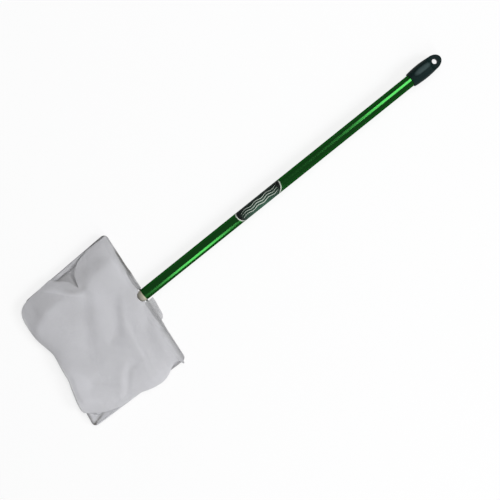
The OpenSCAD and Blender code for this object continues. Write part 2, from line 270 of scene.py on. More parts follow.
NEAR_LEFT = near_point(LEFT_Y)
NEAR_RIGHT = near_point(RIGHT_Y)
FAR_LEFT = NEAR_LEFT - ARM_LEFT * np.array([1, TOE]) / math.hypot(1, TOE)
FAR_RIGHT = NEAR_RIGHT - ARM_RIGHT * np.array([1, -TOE]) / math.hypot(1, TOE)
RIM = [NEAR_RIGHT, FAR_RIGHT, FAR_LEFT, NEAR_LEFT]


def left_arm_y(x):
    """Y of the rim's left arm."""
    return LEFT_Y + (x - NEAR_LEFT[0]) * TOE


def right_arm_y(x):
    """Y of the rim's right arm."""
    return RIGHT_Y - (x - NEAR_RIGHT[0]) * TOE


def far_x(y):
    """X of the far wire."""
    slope = (FAR_LEFT[0] - FAR_RIGHT[0]) / (FAR_LEFT[1] - FAR_RIGHT[1])
    return FAR_RIGHT[0] + slope * (y - FAR_RIGHT[1])


def unit(v):
    return v / np.linalg.norm(v)


def rim_inset(deep):
    """Corners of the rim moved in by the same distance on every side."""
    corners = []
    for i, corner in enumerate(RIM):
        before, after = unit(RIM[i - 1] - corner), unit(RIM[(i + 1) % 4] - corner)
        sine = abs(before[0] * after[1] - before[1] * after[0])
        corners.append(corner + (before + after) * deep / sine)
    return corners


def rim_line(start, end, corners, radius, step):
    """Points from start to end round the four corners, which are bent to a radius."""
    line = [np.asarray(start)]
    stops = [np.asarray(start), *corners, np.asarray(end)]
    for before, corner, after in zip(stops, stops[1:], stops[2:]):
        a, b = unit(before - corner), unit(after - corner)
        half = math.acos(np.clip(a @ b, -1, 1)) / 2
        centre = corner + unit(a + b) * radius / math.sin(half)
        first = corner + a * radius / math.tan(half) - centre
        sweep = math.pi - 2 * half
        side = math.copysign(1, -a[0] * b[1] + a[1] * b[0])
        for k in range(BEND_STEPS + 1):
            turn = side * sweep * k / BEND_STEPS
            c, s = math.cos(turn), math.sin(turn)
            line.append(centre + np.array([c * first[0] - s * first[1], s * first[0] + c * first[1]]))
    line.append(np.asarray(end))
    fine = []
    for a, b in zip(line, line[1:]):
        parts = max(1, round(np.linalg.norm(b - a) / step))
        fine += [a + (b - a) * k / parts for k in range(parts)]
    return np.array([*fine, line[-1]])


class Value:
    """An output of a node tree. Used in an expression, it adds Math nodes to the tree."""

    def __init__(self, graph, socket):
        self.graph = graph
        self.socket = socket

    def math(self, operation, *operands):
        return self.graph.node("ShaderNodeMath", {"operation": operation}, dict(enumerate(operands)))

    def __add__(self, other):
        return self.math("ADD", self, other)

    def __sub__(self, other):
        return self.math("SUBTRACT", self, other)

    def __rsub__(self, other):
        return self.math("SUBTRACT", other, self)

    def __mul__(self, other):
        return self.math("MULTIPLY", self, other)

    def __truediv__(self, other):
        return self.math("DIVIDE", self, other)

    def __lt__(self, other):
        return self.math("LESS_THAN", self, other)

    def __gt__(self, other):
        return self.math("GREATER_THAN", self, other)

    def __abs__(self):
        return self.math("ABSOLUTE", self)

    __radd__ = __add__
    __rmul__ = __mul__

    def min(self, other):
        return self.math("MINIMUM", self, other)

    def max(self, other):
        return self.math("MAXIMUM", self, other)

    def fraction(self):
        return self.math("FRACT", self)

    def nearest(self):
        return self.math("ROUND", self)

    def sine(self):
        return self.math("SINE", self)

    def cosine(self):
        return self.math("COSINE", self)

    def root(self):
        return self.math("SQRT", self)


class Graph:
    """A node tree that is built one node at a time."""

    def __init__(self, tree):
        self.tree = tree

    def node(self, kind, settings=None, sockets=None, output=0):
        made = self.tree.nodes.new(kind)
        for name, value in (settings or {}).items():
            setattr(made, name, value)
        for name, value in (sockets or {}).items():
            self.feed(made.inputs[name], value)
        return Value(self, made.outputs[output])

    def feed(self, socket, value):
        if isinstance(value, Value):
            self.tree.links.new(value.socket, socket)
        else:
            socket.default_value = value


class Finish(Graph):
    """A material with one Principled shader."""

    def __init__(self, name):
        self.material = bpy.data.materials.new(name)
        self.material.use_nodes = True
        super().__init__(self.material.node_tree)
        self.tree.nodes.clear()
        self.shader = self.tree.nodes.new("ShaderNodeBsdfPrincipled")
        surface = self.tree.nodes.new("ShaderNodeOutputMaterial")
        self.tree.links.new(self.shader.outputs[0], surface.inputs[0])

    def surface(self, sockets):
        for name, value in sockets.items():
            self.feed(self.shader.inputs[name], value)
        return self.material

    def place(self, scale=(1, 1, 1), move=(0, 0, 0), coordinates="Object"):
        """Coordinates on the piece, moved and then scaled."""
        place = self.tree.nodes.new("ShaderNodeTexCoord")
        moved = self.node(
            "ShaderNodeVectorMath", {"operation": "SUBTRACT"},
            {0: Value(self, place.outputs[coordinates]), 1: move},
        )
        return self.node("ShaderNodeVectorMath", {"operation": "MULTIPLY"}, {0: moved, 1: scale})

    def noise(self, vector, scale=1.0, detail=2.0, roughness=0.5):
        return self.node(
            "ShaderNodeTexNoise", None,
            {"Vector": vector, "Scale": scale, "Detail": detail, "Roughness": roughness},
        )

    def split(self, vector):
        node = self.tree.nodes.new("ShaderNodeSeparateXYZ")
        self.feed(node.inputs[0], vector)
        return [Value(self, socket) for socket in node.outputs]

    def mix(self, share, first, second):
        return self.node(
            "ShaderNodeMix", {"data_type": "RGBA"}, {"Factor": share, 6: first, 7: second}, output=2,
        )

    def bump(self, height, distance, strength=1.0):
        return self.node(
            "ShaderNodeBump", None, {"Strength": strength, "Distance": distance, "Height": height},
        )


def tint(colour, times=1.0):
    """A colour made lighter or darker, for a colour socket."""
    return tuple(c * times for c in colour[:3]) + (1.0,)


class PondNetCloth(bpy.types.PropertyGroup):
    """Sizes of the sewn bag."""

    hem_width: FloatProperty(
        name="Hem width", description="From the wire to the inner edge of the hem",
        default=0.011, unit="LENGTH",
    )
    sleeve_radius: FloatProperty(
        name="Sleeve radius", description="Outside radius of the sleeve round the wire",
        default=0.0021, unit="LENGTH",
    )
    thickness: FloatProperty(
        name="Mesh thickness", description="Thickness of one layer of mesh",
        default=0.0003, unit="LENGTH",
    )
    crown: FloatProperty(
        name="Crown", description="How high the bag stands over its edges", default=0.0085, unit="LENGTH",
    )
    fold_in: FloatProperty(
        name="Fold in", description="How far the back panel is folded in from the far wire",
        default=0.08, unit="LENGTH",
    )
    weave_pitch: FloatProperty(
        name="Weave pitch", description="Distance from thread to thread of the mesh",
        default=0.0009, unit="LENGTH",
    )
    panel_hole: FloatProperty(
        name="Panel hole", description="Share of the pitch that is open in the panels",
        default=0.30, subtype="FACTOR",
    )
    hem_hole: FloatProperty(
        name="Hem hole", description="Share of the pitch that is open in the sewn hem",
        default=0.40, subtype="FACTOR",
    )
    sleeve_hole: FloatProperty(
        name="Sleeve hole", description="Share of the pitch that is open where the mesh is drawn tight",
        default=0.45, subtype="FACTOR",
    )
    stitch_pitch: FloatProperty(
        name="Stitch pitch", description="Distance from stitch to stitch along the hem",
        default=0.0032, unit="LENGTH",
    )
    overlock_pitch: FloatProperty(
        name="Overlock pitch", description="Distance between the threads over the bag's seam",
        default=0.0017, unit="LENGTH",
    )
    thread: FloatProperty(
        name="Thread", description="Diameter of the sewing thread", default=0.0005, unit="LENGTH",
    )


class PondNetColours(bpy.types.PropertyGroup):
    """Colours of the net's finishes."""

    tube: FloatVectorProperty(
        name="Tube", description="Green of the anodised tube",
        default=(0.0124, 0.08, 0.0151), subtype="COLOR",
    )
    cap: FloatVectorProperty(
        name="Cap", description="Moulded black of the hang cap",
        default=(0.0018, 0.0101, 0.0098), subtype="COLOR",
    )
    # Grey of the painted highlight on the cap's belly
    painted_highlight: FloatVectorProperty(
        name="Highlighted cap", description="Grey of the cap where the thumb brightens it",
        default=(0.045, 0.072, 0.072), subtype="COLOR",
    )
    film: FloatVectorProperty(
        name="Label film", description="Dark ground of the label",
        default=(0.003, 0.004, 0.004), subtype="COLOR",
    )
    film_middle: FloatVectorProperty(
        name="Label middle", description="Sea green at the middle of the label",
        default=(0.03, 0.09, 0.056), subtype="COLOR",
    )
    ink: FloatVectorProperty(
        name="Label ink", description="Pale print on the label",
        default=(0.50, 0.55, 0.48), subtype="COLOR",
    )
    bung: FloatVectorProperty(
        name="Bung", description="Cream of the bung",
        default=(0.335, 0.322, 0.262), subtype="COLOR",
    )
    wire: FloatVectorProperty(
        name="Wire", description="Grey of the plated wire",
        default=(0.092, 0.097, 0.101), subtype="COLOR",
    )
    mesh: FloatVectorProperty(
        name="Mesh", description="Off-white of the mesh",
        default=(0.662, 0.662, 0.688), subtype="COLOR",
    )
    thread: FloatVectorProperty(
        name="Thread", description="White of the sewing thread",
        default=(0.66, 0.66, 0.66), subtype="COLOR",
    )
    floor: FloatVectorProperty(
        name="Floor", description="White of the floor",
        default=(0.95, 0.95, 0.95), subtype="COLOR",
    )


class PondNetStage(bpy.types.PropertyGroup):
    """Camera and light."""

    view_centre: FloatVectorProperty(
        name="View centre",
        description="Point under the camera, along and across the pole from its net end",
        default=(0.1843, -0.0527), size=2, unit="LENGTH",
    )
    view_width: FloatProperty(
        name="View width", description="Width that the view takes in", default=0.833, unit="LENGTH",
    )
    view_turn: FloatProperty(
        name="View turn", description="Turn of the camera about the upright",
        default=math.radians(-38.74), unit="ROTATION",
    )
    camera_height: FloatProperty(
        name="Camera height", description="Height of the camera over the pole",
        default=1.8, unit="LENGTH",
    )
    side_lamp: FloatProperty(
        name="Side lamp", description="Radiance of the lamp beside the pole", default=11.2,
    )
    top_lamp: FloatProperty(
        name="Top lamp", description="Radiance of the lamp over the grip", default=12.0,
    )
    fold_lamp: FloatProperty(
        name="Fold lamp", description="Strength of the low light that shows the folds", default=1.62,
    )
    room: FloatProperty(
        name="Room light", description="Light of the room all round", default=0.2,
    )
    glow: FloatProperty(
        name="Floor glow", description="Share of the floor's look that is its own white",
        default=0.8, subtype="FACTOR",
    )
    backdrop: FloatProperty(
        name="Backdrop", description="Brightness of the room where it is seen", default=0.505,
    )


def anodised_green(colour):
    """Drawn tube: clear green over bright metal, with fine lines along the pole."""
    f = Finish("anodised_green")
    lines = f.noise(f.place((0.7, 420, 420)), detail=2)
    cloud = f.noise(f.place((9, 40, 40)), detail=1)
    shade = (0.75 + 0.5 * lines) * (0.85 + 0.3 * cloud)
    return f.surface({
        "Base Color": f.mix(shade * 0.5, tint(colour, 0.65), tint(colour, 1.35)),
        "Metallic": 1.0,
        "Roughness": 0.125 + 0.03 * lines + 0.02 * cloud,
        "Specular Tint": (0.1, 0.3, 0.12, 1),
        "Normal": f.bump(lines, 0.00001, 0.1),
    })


# Painted highlight on the cap's belly: its middle, in from the tip and out to the side, and its half
# length and half width
HIGHLIGHT_IN = 0.0375
HIGHLIGHT_SIDE = 0.0022
HIGHLIGHT_LONG = 0.0165
HIGHLIGHT_WIDE = 0.0046


def moulded_black(colour, painted_highlight):
    """Satin moulded plastic with a fine grain, and a painted highlight on its belly before the hang hole.
    """
    f = Finish("moulded_black")
    grain = f.noise(f.place((1, 1, 1)), 2600, 2)
    scuff = f.noise(f.place((90, 160, 160)), 1, 4, 0.65)
    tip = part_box("hang_cap")[1].x
    along, across, _ = f.split(f.place(move=(tip - HIGHLIGHT_IN, NET_END.y + HIGHLIGHT_SIDE, 0)))
    past_end = abs(along) / HIGHLIGHT_LONG
    past_side = abs(across) / HIGHLIGHT_WIDE
    # Painted highlight: a soft grey patch on the belly, mottled by the scuff noise
    highlight = (1.3 - (past_end * past_end * past_end + past_side * past_side)).max(0.0).min(1.0)
    black = f.mix(scuff, tint(colour, 0.8), tint(colour, 1.4))
    return f.surface({
        "Base Color": f.mix(highlight * (0.65 + 0.6 * scuff), black, tint(painted_highlight)),
        "Roughness": 0.4 + 0.14 * scuff + 0.08 * grain,
        "Specular IOR Level": 0.08,
        "Normal": f.bump(grain, 0.00005, 0.45),
    })


# Where the painted shade on the bung's head gives way to the paler flange: how far out from the tube's
# end, and over what length
FLANGE = 0.0032
FLANGE_BLEND = 1 / 700


def moulded_cream(colour):
    """Cream plastic, paler at the flange against the tube, with painted shade on its head under the mesh.
    """
    f = Finish("moulded_cream")
    grain = f.noise(f.place((1, 1, 1)), 1900, 2)
    cloud = f.noise(f.place((1, 1, 1)), 160, 3)
    along, _, _ = f.split(f.place(move=NET_END))
    flange = ((along + FLANGE) / FLANGE_BLEND).max(0.0).min(1.0)
    # Head of the bung in painted shade
    shaded_head = f.mix(cloud, tint(colour, 0.82), tint(colour, 1.12))
    pale = (colour[0] * 1.35, colour[1] * 1.35, colour[2] * 1.2, 1.0)
    return f.surface({
        "Base Color": f.mix(flange, shaded_head, pale),
        "Roughness": 0.42 + 0.14 * grain,
        "Subsurface Weight": 0.08,
        "Subsurface Radius": (0.002, 0.0015, 0.001),
        "Normal": f.bump(grain, 0.00004, 0.35),
    })


def plated_wire(colour):
    """Zinc-plated wire: a cloudy grey with duller spots."""
    f = Finish("plated_wire")
    cloud = f.noise(f.place((1, 1, 1)), 420, 4, 0.6)
    spots = f.node("ShaderNodeTexVoronoi", None, {"Vector": f.place((1, 1, 1)), "Scale": 700.0})
    return f.surface({
        "Base Color": f.mix(cloud, tint(colour, 0.55), tint(colour, 1.25)),
        "Metallic": 0.9,
        "Roughness": 0.34 + 0.22 * cloud,
        "Normal": f.bump(spots, 0.00006, 0.3),
    })


LABEL_WRAP = 0.0285
LABEL_ROUND = 0.005
LABEL_SKEW = 0.05
WAVE_LONG = 0.022
WAVE_HIGH = 0.0011
WAVE_GAP = 0.0042
WAVE_WIDE = 0.0014
WAVE_REACH = 0.038
MIDDLE_REACH = 0.04


def printed_film(film, middle, ink, pole_green):
    """Clear film over the tube with a dark printed oval, which has a pale outline and plain waves."""
    f = Finish("printed_film")
    low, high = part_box("pole_label")
    half_long = (high.x - low.x) / 2
    centre = ((low.x + high.x) / 2, NET_END.y, NET_END.z + TILT * ((low.x + high.x) / 2 - NET_END.x))
    along, across, up = f.split(f.place(move=centre))
    around = along.math("ARCTAN2", across, up) * POLE_R
    off_line = around - along * LABEL_SKEW - LABEL_ROUND
    reach_long, reach_wide = along / half_long, off_line / LABEL_WRAP
    oval = (reach_long * reach_long + reach_wide * reach_wide).root()
    inside = oval < 0.995
    border = (oval > 0.955) * inside
    taper = (1 - abs(along) / WAVE_REACH).max(0.0)
    wave = around + (along * (2 * math.pi / WAVE_LONG)).sine() * WAVE_HIGH
    nearest = abs((wave / WAVE_GAP + 0.5).fraction() - 0.5) * WAVE_GAP
    waves = (nearest < WAVE_WIDE * 0.5 * taper.root()) * (abs(wave) < 1.5 * WAVE_GAP)
    grain = f.noise(f.place((1, 1, 1)), 1500, 2)
    deep = (1.0 - abs(along) / MIDDLE_REACH).max(0.0).root()
    ground = f.mix((around * -45 + 0.55).max(0.12).min(1.0) * deep, tint(film), tint(middle))
    worn = 0.82 + 0.3 * grain
    printed = f.mix(border.max(waves) * worn, ground, tint(ink))
    return f.surface({
        "Base Color": f.mix(inside, tint(pole_green), printed),
        "Metallic": 1 - inside,
        "Roughness": 0.18 + 0.1 * inside + 0.1 * grain,
        "Specular IOR Level": 0.12,
        "Normal": f.bump(grain, 0.00001, 0.3),
    })


# How much the mesh darkens for each layer under it and for each unit of painted shade
LAYER_SHADE = 0.085


def fine_mesh(name, colour, pitch, hole):
    """Woven net: round threads both ways with square holes between them, greyer by layers and by painted
    shade and light.
    """
    f = Finish(name)
    cut = f.place((1 / pitch, 1 / pitch, 0), coordinates="UV")
    drift = f.noise(f.place((90, 90, 90)), detail=1) - 0.5
    along, across, _ = f.split(cut)
    u, v = along + drift * 1.2, across - drift * 1.2
    off_u, off_v = abs(u.fraction() - 0.5), abs(v.fraction() - 0.5)
    open_hole = (off_u < hole / 2) * (off_v < hole / 2)
    round_u, round_v = [((off * 2 - hole) / (1 - hole)).max(0.0).root() for off in (off_u, off_v)]
    over_u = 1 + 0.5 * ((v + u.nearest()) * math.pi).cosine()
    over_v = 1 - 0.5 * ((u + v.nearest()) * math.pi).cosine()
    thread = (round_u * over_u).max(round_v * over_v)
    cloud = f.noise(f.place((26, 26, 26)), detail=4, roughness=0.6)
    # Layer count with painted shade and painted light in it
    layers_and_painted_light = f.node("ShaderNodeAttribute", {"attribute_name": "layers_and_painted_light"}, output=2)
    fresh = f.mix(cloud, tint(colour, 0.96), tint(colour, 1.04))
    return f.surface({
        "Base Color": f.mix(layers_and_painted_light * LAYER_SHADE, fresh, tint((1.0, 0.95, 0.8), 0.1)),
        "Roughness": 0.62 + 0.2 * cloud,
        "Alpha": 1 - open_hole,
        "Sheen Weight": 0.15,
        "Sheen Roughness": 0.5,
        "Specular IOR Level": 0.3,
        "Normal": f.bump(thread, pitch * 0.3, 0.5),
    })


def sewing_thread(colour):
    """Twisted white thread."""
    f = Finish("sewing_thread")
    lay_lines = f.noise(f.place((1, 1, 1)), 2400, 2)
    return f.surface({
        "Base Color": f.mix(lay_lines, tint(colour, 0.8), tint(colour, 1.1)),
        "Roughness": 0.7 + 0.15 * lay_lines,
        "Normal": f.bump(lay_lines, 0.0001, 0.5),
    })


def new_piece(name, mesh, replaced=()):
    """Adds a finished mesh to the scene as a piece that rides on the net."""
    piece = bpy.data.objects.new(name, mesh)
    bpy.context.scene.collection.objects.link(piece)
    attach(piece, BODY)
    if replaced:
        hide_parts(*replaced)
    return piece


def refinish(node, material):
    """Gives a CAD node that keeps its shape a new material."""
    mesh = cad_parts[node].data
    mesh.materials.clear()
    mesh.materials.append(material)


# Points of a sheet closer than WELD become one, and faces thinner than SLIVER are taken out
WELD = 0.02
SLIVER = 0.005


def sheet_mesh(name, blocks, finishes):
    """One mesh from grids of flat points, welded where their edges meet.

    Each grid comes with its cut coordinates, the number of its finish and the layers under it, with
    painted shade and light.
    """
    points, cuts, faces, kinds, layer_and_light_values = [], [], [], [], []
    start = 0
    for grid, cut, finish, layers_and_painted_light in blocks:
        rows, cols = grid.shape[:2]
        at = start + np.arange(rows * cols).reshape(rows, cols)
        quads = np.stack([at[:-1, :-1], at[1:, :-1], at[1:, 1:], at[:-1, 1:]], axis=-1).reshape(-1, 4)
        faces.append(quads)
        kinds.append(np.full(len(quads), finish))
        points.append(lay(grid).reshape(-1, 3))
        cuts.append(np.asarray(cut, float).reshape(-1, 2) * MM)
        layer_and_light_values.append(np.broadcast_to(layers_and_painted_light, (rows, cols)).ravel())
        start += rows * cols
    corners = np.vstack(faces)
    mesh = bpy.data.meshes.new(name)
    mesh.from_pydata(np.vstack(points).tolist(), [], corners.tolist())
    for finish in finishes:
        mesh.materials.append(finish)
    mesh.polygons.foreach_set("material_index", np.concatenate(kinds).astype(np.int32))
    layer = mesh.uv_layers.new(name="cut")
    layer.data.foreach_set("uv", np.vstack(cuts)[corners.ravel()].ravel())
    # Layer count, which also carries painted shade and painted light
    layer_and_light_attribute = mesh.attributes.new("layers_and_painted_light", "FLOAT", "POINT")
    layer_and_light_attribute.data.foreach_set("value", np.concatenate(layer_and_light_values).astype(np.float32))
    solid = bmesh.new()
    solid.from_mesh(mesh)
    bmesh.ops.remove_doubles(solid, verts=solid.verts, dist=WELD * MM)
    bmesh.ops.dissolve_degenerate(solid, edges=solid.edges, dist=SLIVER * MM)
    bmesh.ops.recalc_face_normals(solid, faces=solid.faces)
    solid.to_mesh(mesh)
    solid.free()
    mesh.shade_smooth()
    return mesh


def thicken(piece, thickness):
    """Gives a sheet the thickness of its cloth, half to each side."""
    wall = piece.modifiers.new("mesh_thickness", "SOLIDIFY")
    wall.thickness = thickness
    wall.offset = 0


FOLD_SWELL = 0.9
TUCK_POINTS = 200


def fold_lift(x, y, fold):
    """Height that one fold adds at each point."""
    height, left_wide, right_wide, path = fold
    path = np.asarray(path, float)
    run = run_length(path)
    best = np.full(x.shape, np.inf)
    side = np.zeros(x.shape)
    along = np.zeros(x.shape)
    for a, b, at in zip(path, path[1:], run):
        way = b - a
        share = np.clip(((x - a[0]) * way[0] + (y - a[1]) * way[1]) / (way @ way), 0, 1)
        off_x = x - a[0] - share * way[0]
        off_y = y - a[1] - share * way[1]
        gap = np.hypot(off_x, off_y)
        nearer = gap < best
        best = np.where(nearer, gap, best)
        side = np.where(nearer, way[0] * off_y - way[1] * off_x, side)
        along = np.where(nearer, (at + share * np.linalg.norm(way)) / run[-1], along)
    wide = np.where(side > 0, left_wide, right_wide)
    swell = np.sin(math.pi * np.clip(along, 0, 1)) ** FOLD_SWELL
    return height * swell * np.exp(-((best / wide) ** 2))


def crumple(x, y, size, seed):
    """Smooth random height from -1 to 1 over the cloth."""
    flat = [noise.noise((a / size, b / size, seed)) for a, b in zip(x.ravel(), y.ravel())]
    return np.array(flat).reshape(x.shape)


def tuck_depth(x):
    """How far the gusset's tuck draws the left lip in."""
    curve = smooth_curve(TUCK_DEPTH, TUCK_POINTS)
    return np.interp(x, curve[:, 0], np.maximum(curve[:, 1], 0))


def line_y(points, x):
    """Y of a line of listed points, at x."""
    p = np.asarray(points, float)
    order = np.argsort(p[:, 0])
    return np.interp(x, p[order, 0], p[order, 1])


def line_x(points, y):
    """X of a line of listed points, at y."""
    p = np.asarray(points, float)
    order = np.argsort(p[:, 1])
    return np.interp(y, p[order, 1], p[order, 0])


# Bottom edge of the bag: its height, how far a stretch of it is lifted, and that stretch's ends
SEAM_Z = 5.6
SEAM_LIFT = 4.6
LIFT_RIGHT = (-98.0, 24.0)
LIFT_LEFT = (30.0, 50.0)
SEAM_DROOP = 0.005


def seam_z(y):
    """Height of the bag's bottom edge, which droops where it hangs out past the far wire."""
    out = np.maximum(far_x(y) - line_x(FAR_EDGE, y), 0)
    return SEAM_Z + SEAM_LIFT * stretch(y, LIFT_RIGHT, LIFT_LEFT) - SEAM_DROOP * out**2


def soft_min(a, b, blend):
    """The lower of two heights, rounded where they cross."""
    h = np.clip(0.5 + 0.5 * (b - a) / blend, 0, 1)
    return b + (a - b) * h - blend * h * (1 - h)


def rise_from(gap, reach):
    """0 at an edge and nearly 1 well inside it."""
    return 1 - np.exp(-np.maximum(gap, 0) / reach)


# Height of the front panel's lips, and how far in from its edges it takes to rise
LIP_Z = 4.2
RIGHT_RISE = 22.0
NEAR_RISE = 12.0
FAR_RISE = 13.0
CROWN_RIGHT = 0.86
CROWN_WIDE = 200.0
SHOULDER_BLEND = 1.3

# Wrinkles of the front panel and puckers along its lips: height, size and seed, how far in from the
# edges the wrinkles are full, and how far in the puckers reach
WRINKLES = [(0.6, 38, 1.7), (0.14, 13, 5.1), (0.08, 4.5, 9.3)]
PUCKERS = [(0.3, 5, 3.3)]
FIRM_EDGE = 11.0
PUCKER_IN = 12.0


def crumples(x, y, kinds):
    """Heights of several kinds of crumple together."""
    return sum(height * crumple(x, y, size, seed) for height, size, seed in kinds)


def panel_height(x, y, crown):
    """Height of the front panel over the wire."""
    near = near_x(y) - near_lip_in(y) - x
    left = line_y(LEFT_LIP, x) - y
    right = y - line_y(RIGHT_LIP, x)
    far = x - line_x(FAR_EDGE, y)
    facet = crown * left / (line_y(LEFT_LIP, x) - line_y(SHOULDER, x))
    leaning = CROWN_RIGHT + (1 - CROWN_RIGHT) * right / CROWN_WIDE
    broad = crown * rise_from(right, RIGHT_RISE) * leaning
    rise = soft_min(facet, broad, SHOULDER_BLEND) * rise_from(near, NEAR_RISE)
    folds = sum(fold_lift(x, y, fold) for fold in FOLDS)
    from_lip = np.minimum(near, np.minimum(left, right))
    loose = ease(np.minimum(from_lip, far) / FIRM_EDGE)
    pucker = crumples(x, y, PUCKERS) * np.exp(-from_lip / PUCKER_IN)
    off_tuck = (x - TUCK_X) / np.where(x > TUCK_X, TUCK_LOW_NEAR, TUCK_LOW_FAR)
    mouth = TUCK_LOW * np.exp(-(off_tuck**4)) * (1 - ease(left / TUCK_LOW_IN))
    height = LIP_Z + rise + (folds + crumples(x, y, WRINKLES)) * loose + pucker - mouth
    return seam_z(y) + (height - seam_z(y)) * rise_from(far, FAR_RISE)


# How wide the gusset's layers and the painted shade over them fade out at the shoulder, along the arm
GUSSET_FADE = (8.0, [(24.0, (-150.0, 40.0))])

# Painted shade along the front panel's near lip, where the hem under it also shows through: how dark,
# how far in, and its share across the net and beside the pole
NEAR_LIP_SHADE = 3.6
NEAR_LIP_SHADE_IN = 4.8
NEAR_SHARE = (1.0, [(-0.3, (0.0, 30.0)), (-0.4, (78.0, 14.0))])
BARE_LESS = 0.7


def panel_layers_and_painted_light(x, y):
    """Layers under the front panel (the back of the bag, the gusset, the hem at the near wire), with
    painted shade and light.
    """
    # The gusset's layers, with painted shade on the facet that slopes away over them
    gusset = ease((y - line_y(SHOULDER, x)) / stepped(x, GUSSET_FADE) + 0.5)
    near = near_x(y) - near_lip_in(y) - x
    share = stepped(y, NEAR_SHARE) * (1 - BARE_LESS * by_pole(y))
    # Painted shade along the near lip
    hem = NEAR_LIP_SHADE * np.exp(-((near / NEAR_LIP_SHADE_IN) ** 2)) * share
    # Painted light: paler streaks and patches
    painted_lighter = sum(fold_lift(x, y, less) for less in PAINTED_LIGHT_PATCHES)
    # Painted shade: darker bands and patches
    painted_darker = sum(fold_lift(x, y, extra) for extra in PAINTED_SHADE_PATCHES)
    return 1 + gusset + hem - painted_lighter + painted_darker


ROLL_R = 0.6
ROLL_STEPS = 5
RUN_STEPS = 7
ROUNDINGS = 3


def turned_under(lip, outward, stops, layers_and_painted_light):
    """Grid of cloth that rolls over a lip, turns under it and runs on through the stops."""
    columns = [lip]
    for k in range(1, ROLL_STEPS + 1):
        a = math.pi * k / ROLL_STEPS
        drop = np.full(len(lip), -ROLL_R * (1 - math.cos(a)))
        columns.append(lip + np.column_stack([outward * ROLL_R * math.sin(a), drop]))
    for stop in stops:
        start = columns[-1]
        columns += [start + (stop - start) * k / RUN_STEPS for k in range(1, RUN_STEPS + 1)]
    grid = np.stack(columns, axis=1)
    for _ in range(ROUNDINGS):
        grid[:, 2:-1] = (grid[:, 1:-2] + 2 * grid[:, 2:-1] + grid[:, 3:]) / 4
    steps = np.linalg.norm(np.diff(grid, axis=1), axis=2)
    run = np.concatenate([np.zeros((len(lip), 1)), np.cumsum(steps, axis=1)], axis=1)
    cut = lip[:, None, :2] + outward[:, None, :] * run[:, :, None]
    return grid, cut, 0, np.broadcast_to(np.reshape(layers_and_painted_light, (-1, 1)), grid.shape[:2])


def outward_of(line, side):
    """Unit directions square to a line in plan, to its left for side 1 and to its right for -1."""
    way = np.gradient(line, axis=0)
    way /= np.linalg.norm(way, axis=1)[:, None]
    return side * np.column_stack([-way[:, 1], way[:, 0]])


def with_height(plan, height):
    """Points of a plan at a height."""
    return np.column_stack([plan, np.broadcast_to(height, len(plan))])


# Where the panel is drawn in, as shares of its width and length: for the gusset, and round the bung
TUCK_FROM = 0.55
NOTCH_TO = 0.25
BUNG_NOTCH = 8.0
BUNG_NOTCH_R = 9.4


def front_panel_plan():
    """Plan of the front panel between its four edges, drawn in at the gusset and round the bung."""
    right = smooth_curve(RIGHT_LIP, PANEL_ROWS + 1)
    left = smooth_curve(LEFT_LIP, PANEL_ROWS + 1)
    far = smooth_curve(FAR_EDGE, PANEL_COLS + 1)
    near_y = np.linspace(right[0][1], left[0][1], PANEL_COLS + 1)
    near = np.column_stack([near_x(near_y) - near_lip_in(near_y), near_y])
    near[0], near[-1] = right[0], left[0]
    s = np.linspace(0, 1, PANEL_ROWS + 1)[:, None, None]
    t = np.linspace(0, 1, PANEL_COLS + 1)[None, :, None]
    corners = (1 - s) * ((1 - t) * near[0] + t * near[-1]) + s * ((1 - t) * far[0] + t * far[-1])
    plan = (1 - s) * near[None] + s * far[None] + (1 - t) * right[:, None] + t * left[:, None] - corners
    x, y = plan[..., 0], plan[..., 1]
    y = y - tuck_depth(x) * ease((t[..., 0] - TUCK_FROM) / (1 - TUCK_FROM))
    round_bung = np.sqrt(np.maximum(1 - (y / BUNG_NOTCH_R) ** 2, 0))
    x = x - BUNG_NOTCH * round_bung * ease((NOTCH_TO - s[..., 0]) / NOTCH_TO)
    return x, y


# The lips under the panel: their heights over the sleeve and where they are sewn, how much lower the
# gusset's mouth is sewn, and the gap that the gusset keeps under the panel
SLEEVE_CLEAR = 2.6
LIP_SEWN_Z = 1.3
GUSSET_SEWN_Z = 1.9
MOUTH_LOWER = 0.3
UNDER_GAP = 1.1

# How far in from the wire a lip passes over the sleeve, the least way in from the near and the right lip,
# and where along the arm the right one ends
OVER_SLEEVE = 4.0
NEAR_LEAST = 1.0
RIGHT_LEAST = 2.5
RIGHT_LIP_END = -186.0

# Gusset: the least way in to its fold, where along the arm it begins to be sewn to the hem, the tuck's
# depth at which its mouth is open, and how far out the mouth is sewn
FOLD_LEAST = 5.0
SEWN_FROM = (-160.0, 12.0)
MOUTH_DEEP = 7.5
MOUTH_OUT = (4.2, [(-1.6, (-82.0, 14.0))])

# Painted shade in the gusset's pocket, over its two turned-under layers: how much at the middle, by how
# much it differs at its far and near side, how far that change takes, and the depth of the tuck from
# which it shows
POCKET_SHADE = 1.0
POCKET_SIDES = 1.7
POCKET_BLEND = 4.5
POCKET_DEEP = (4.0, 5.0)


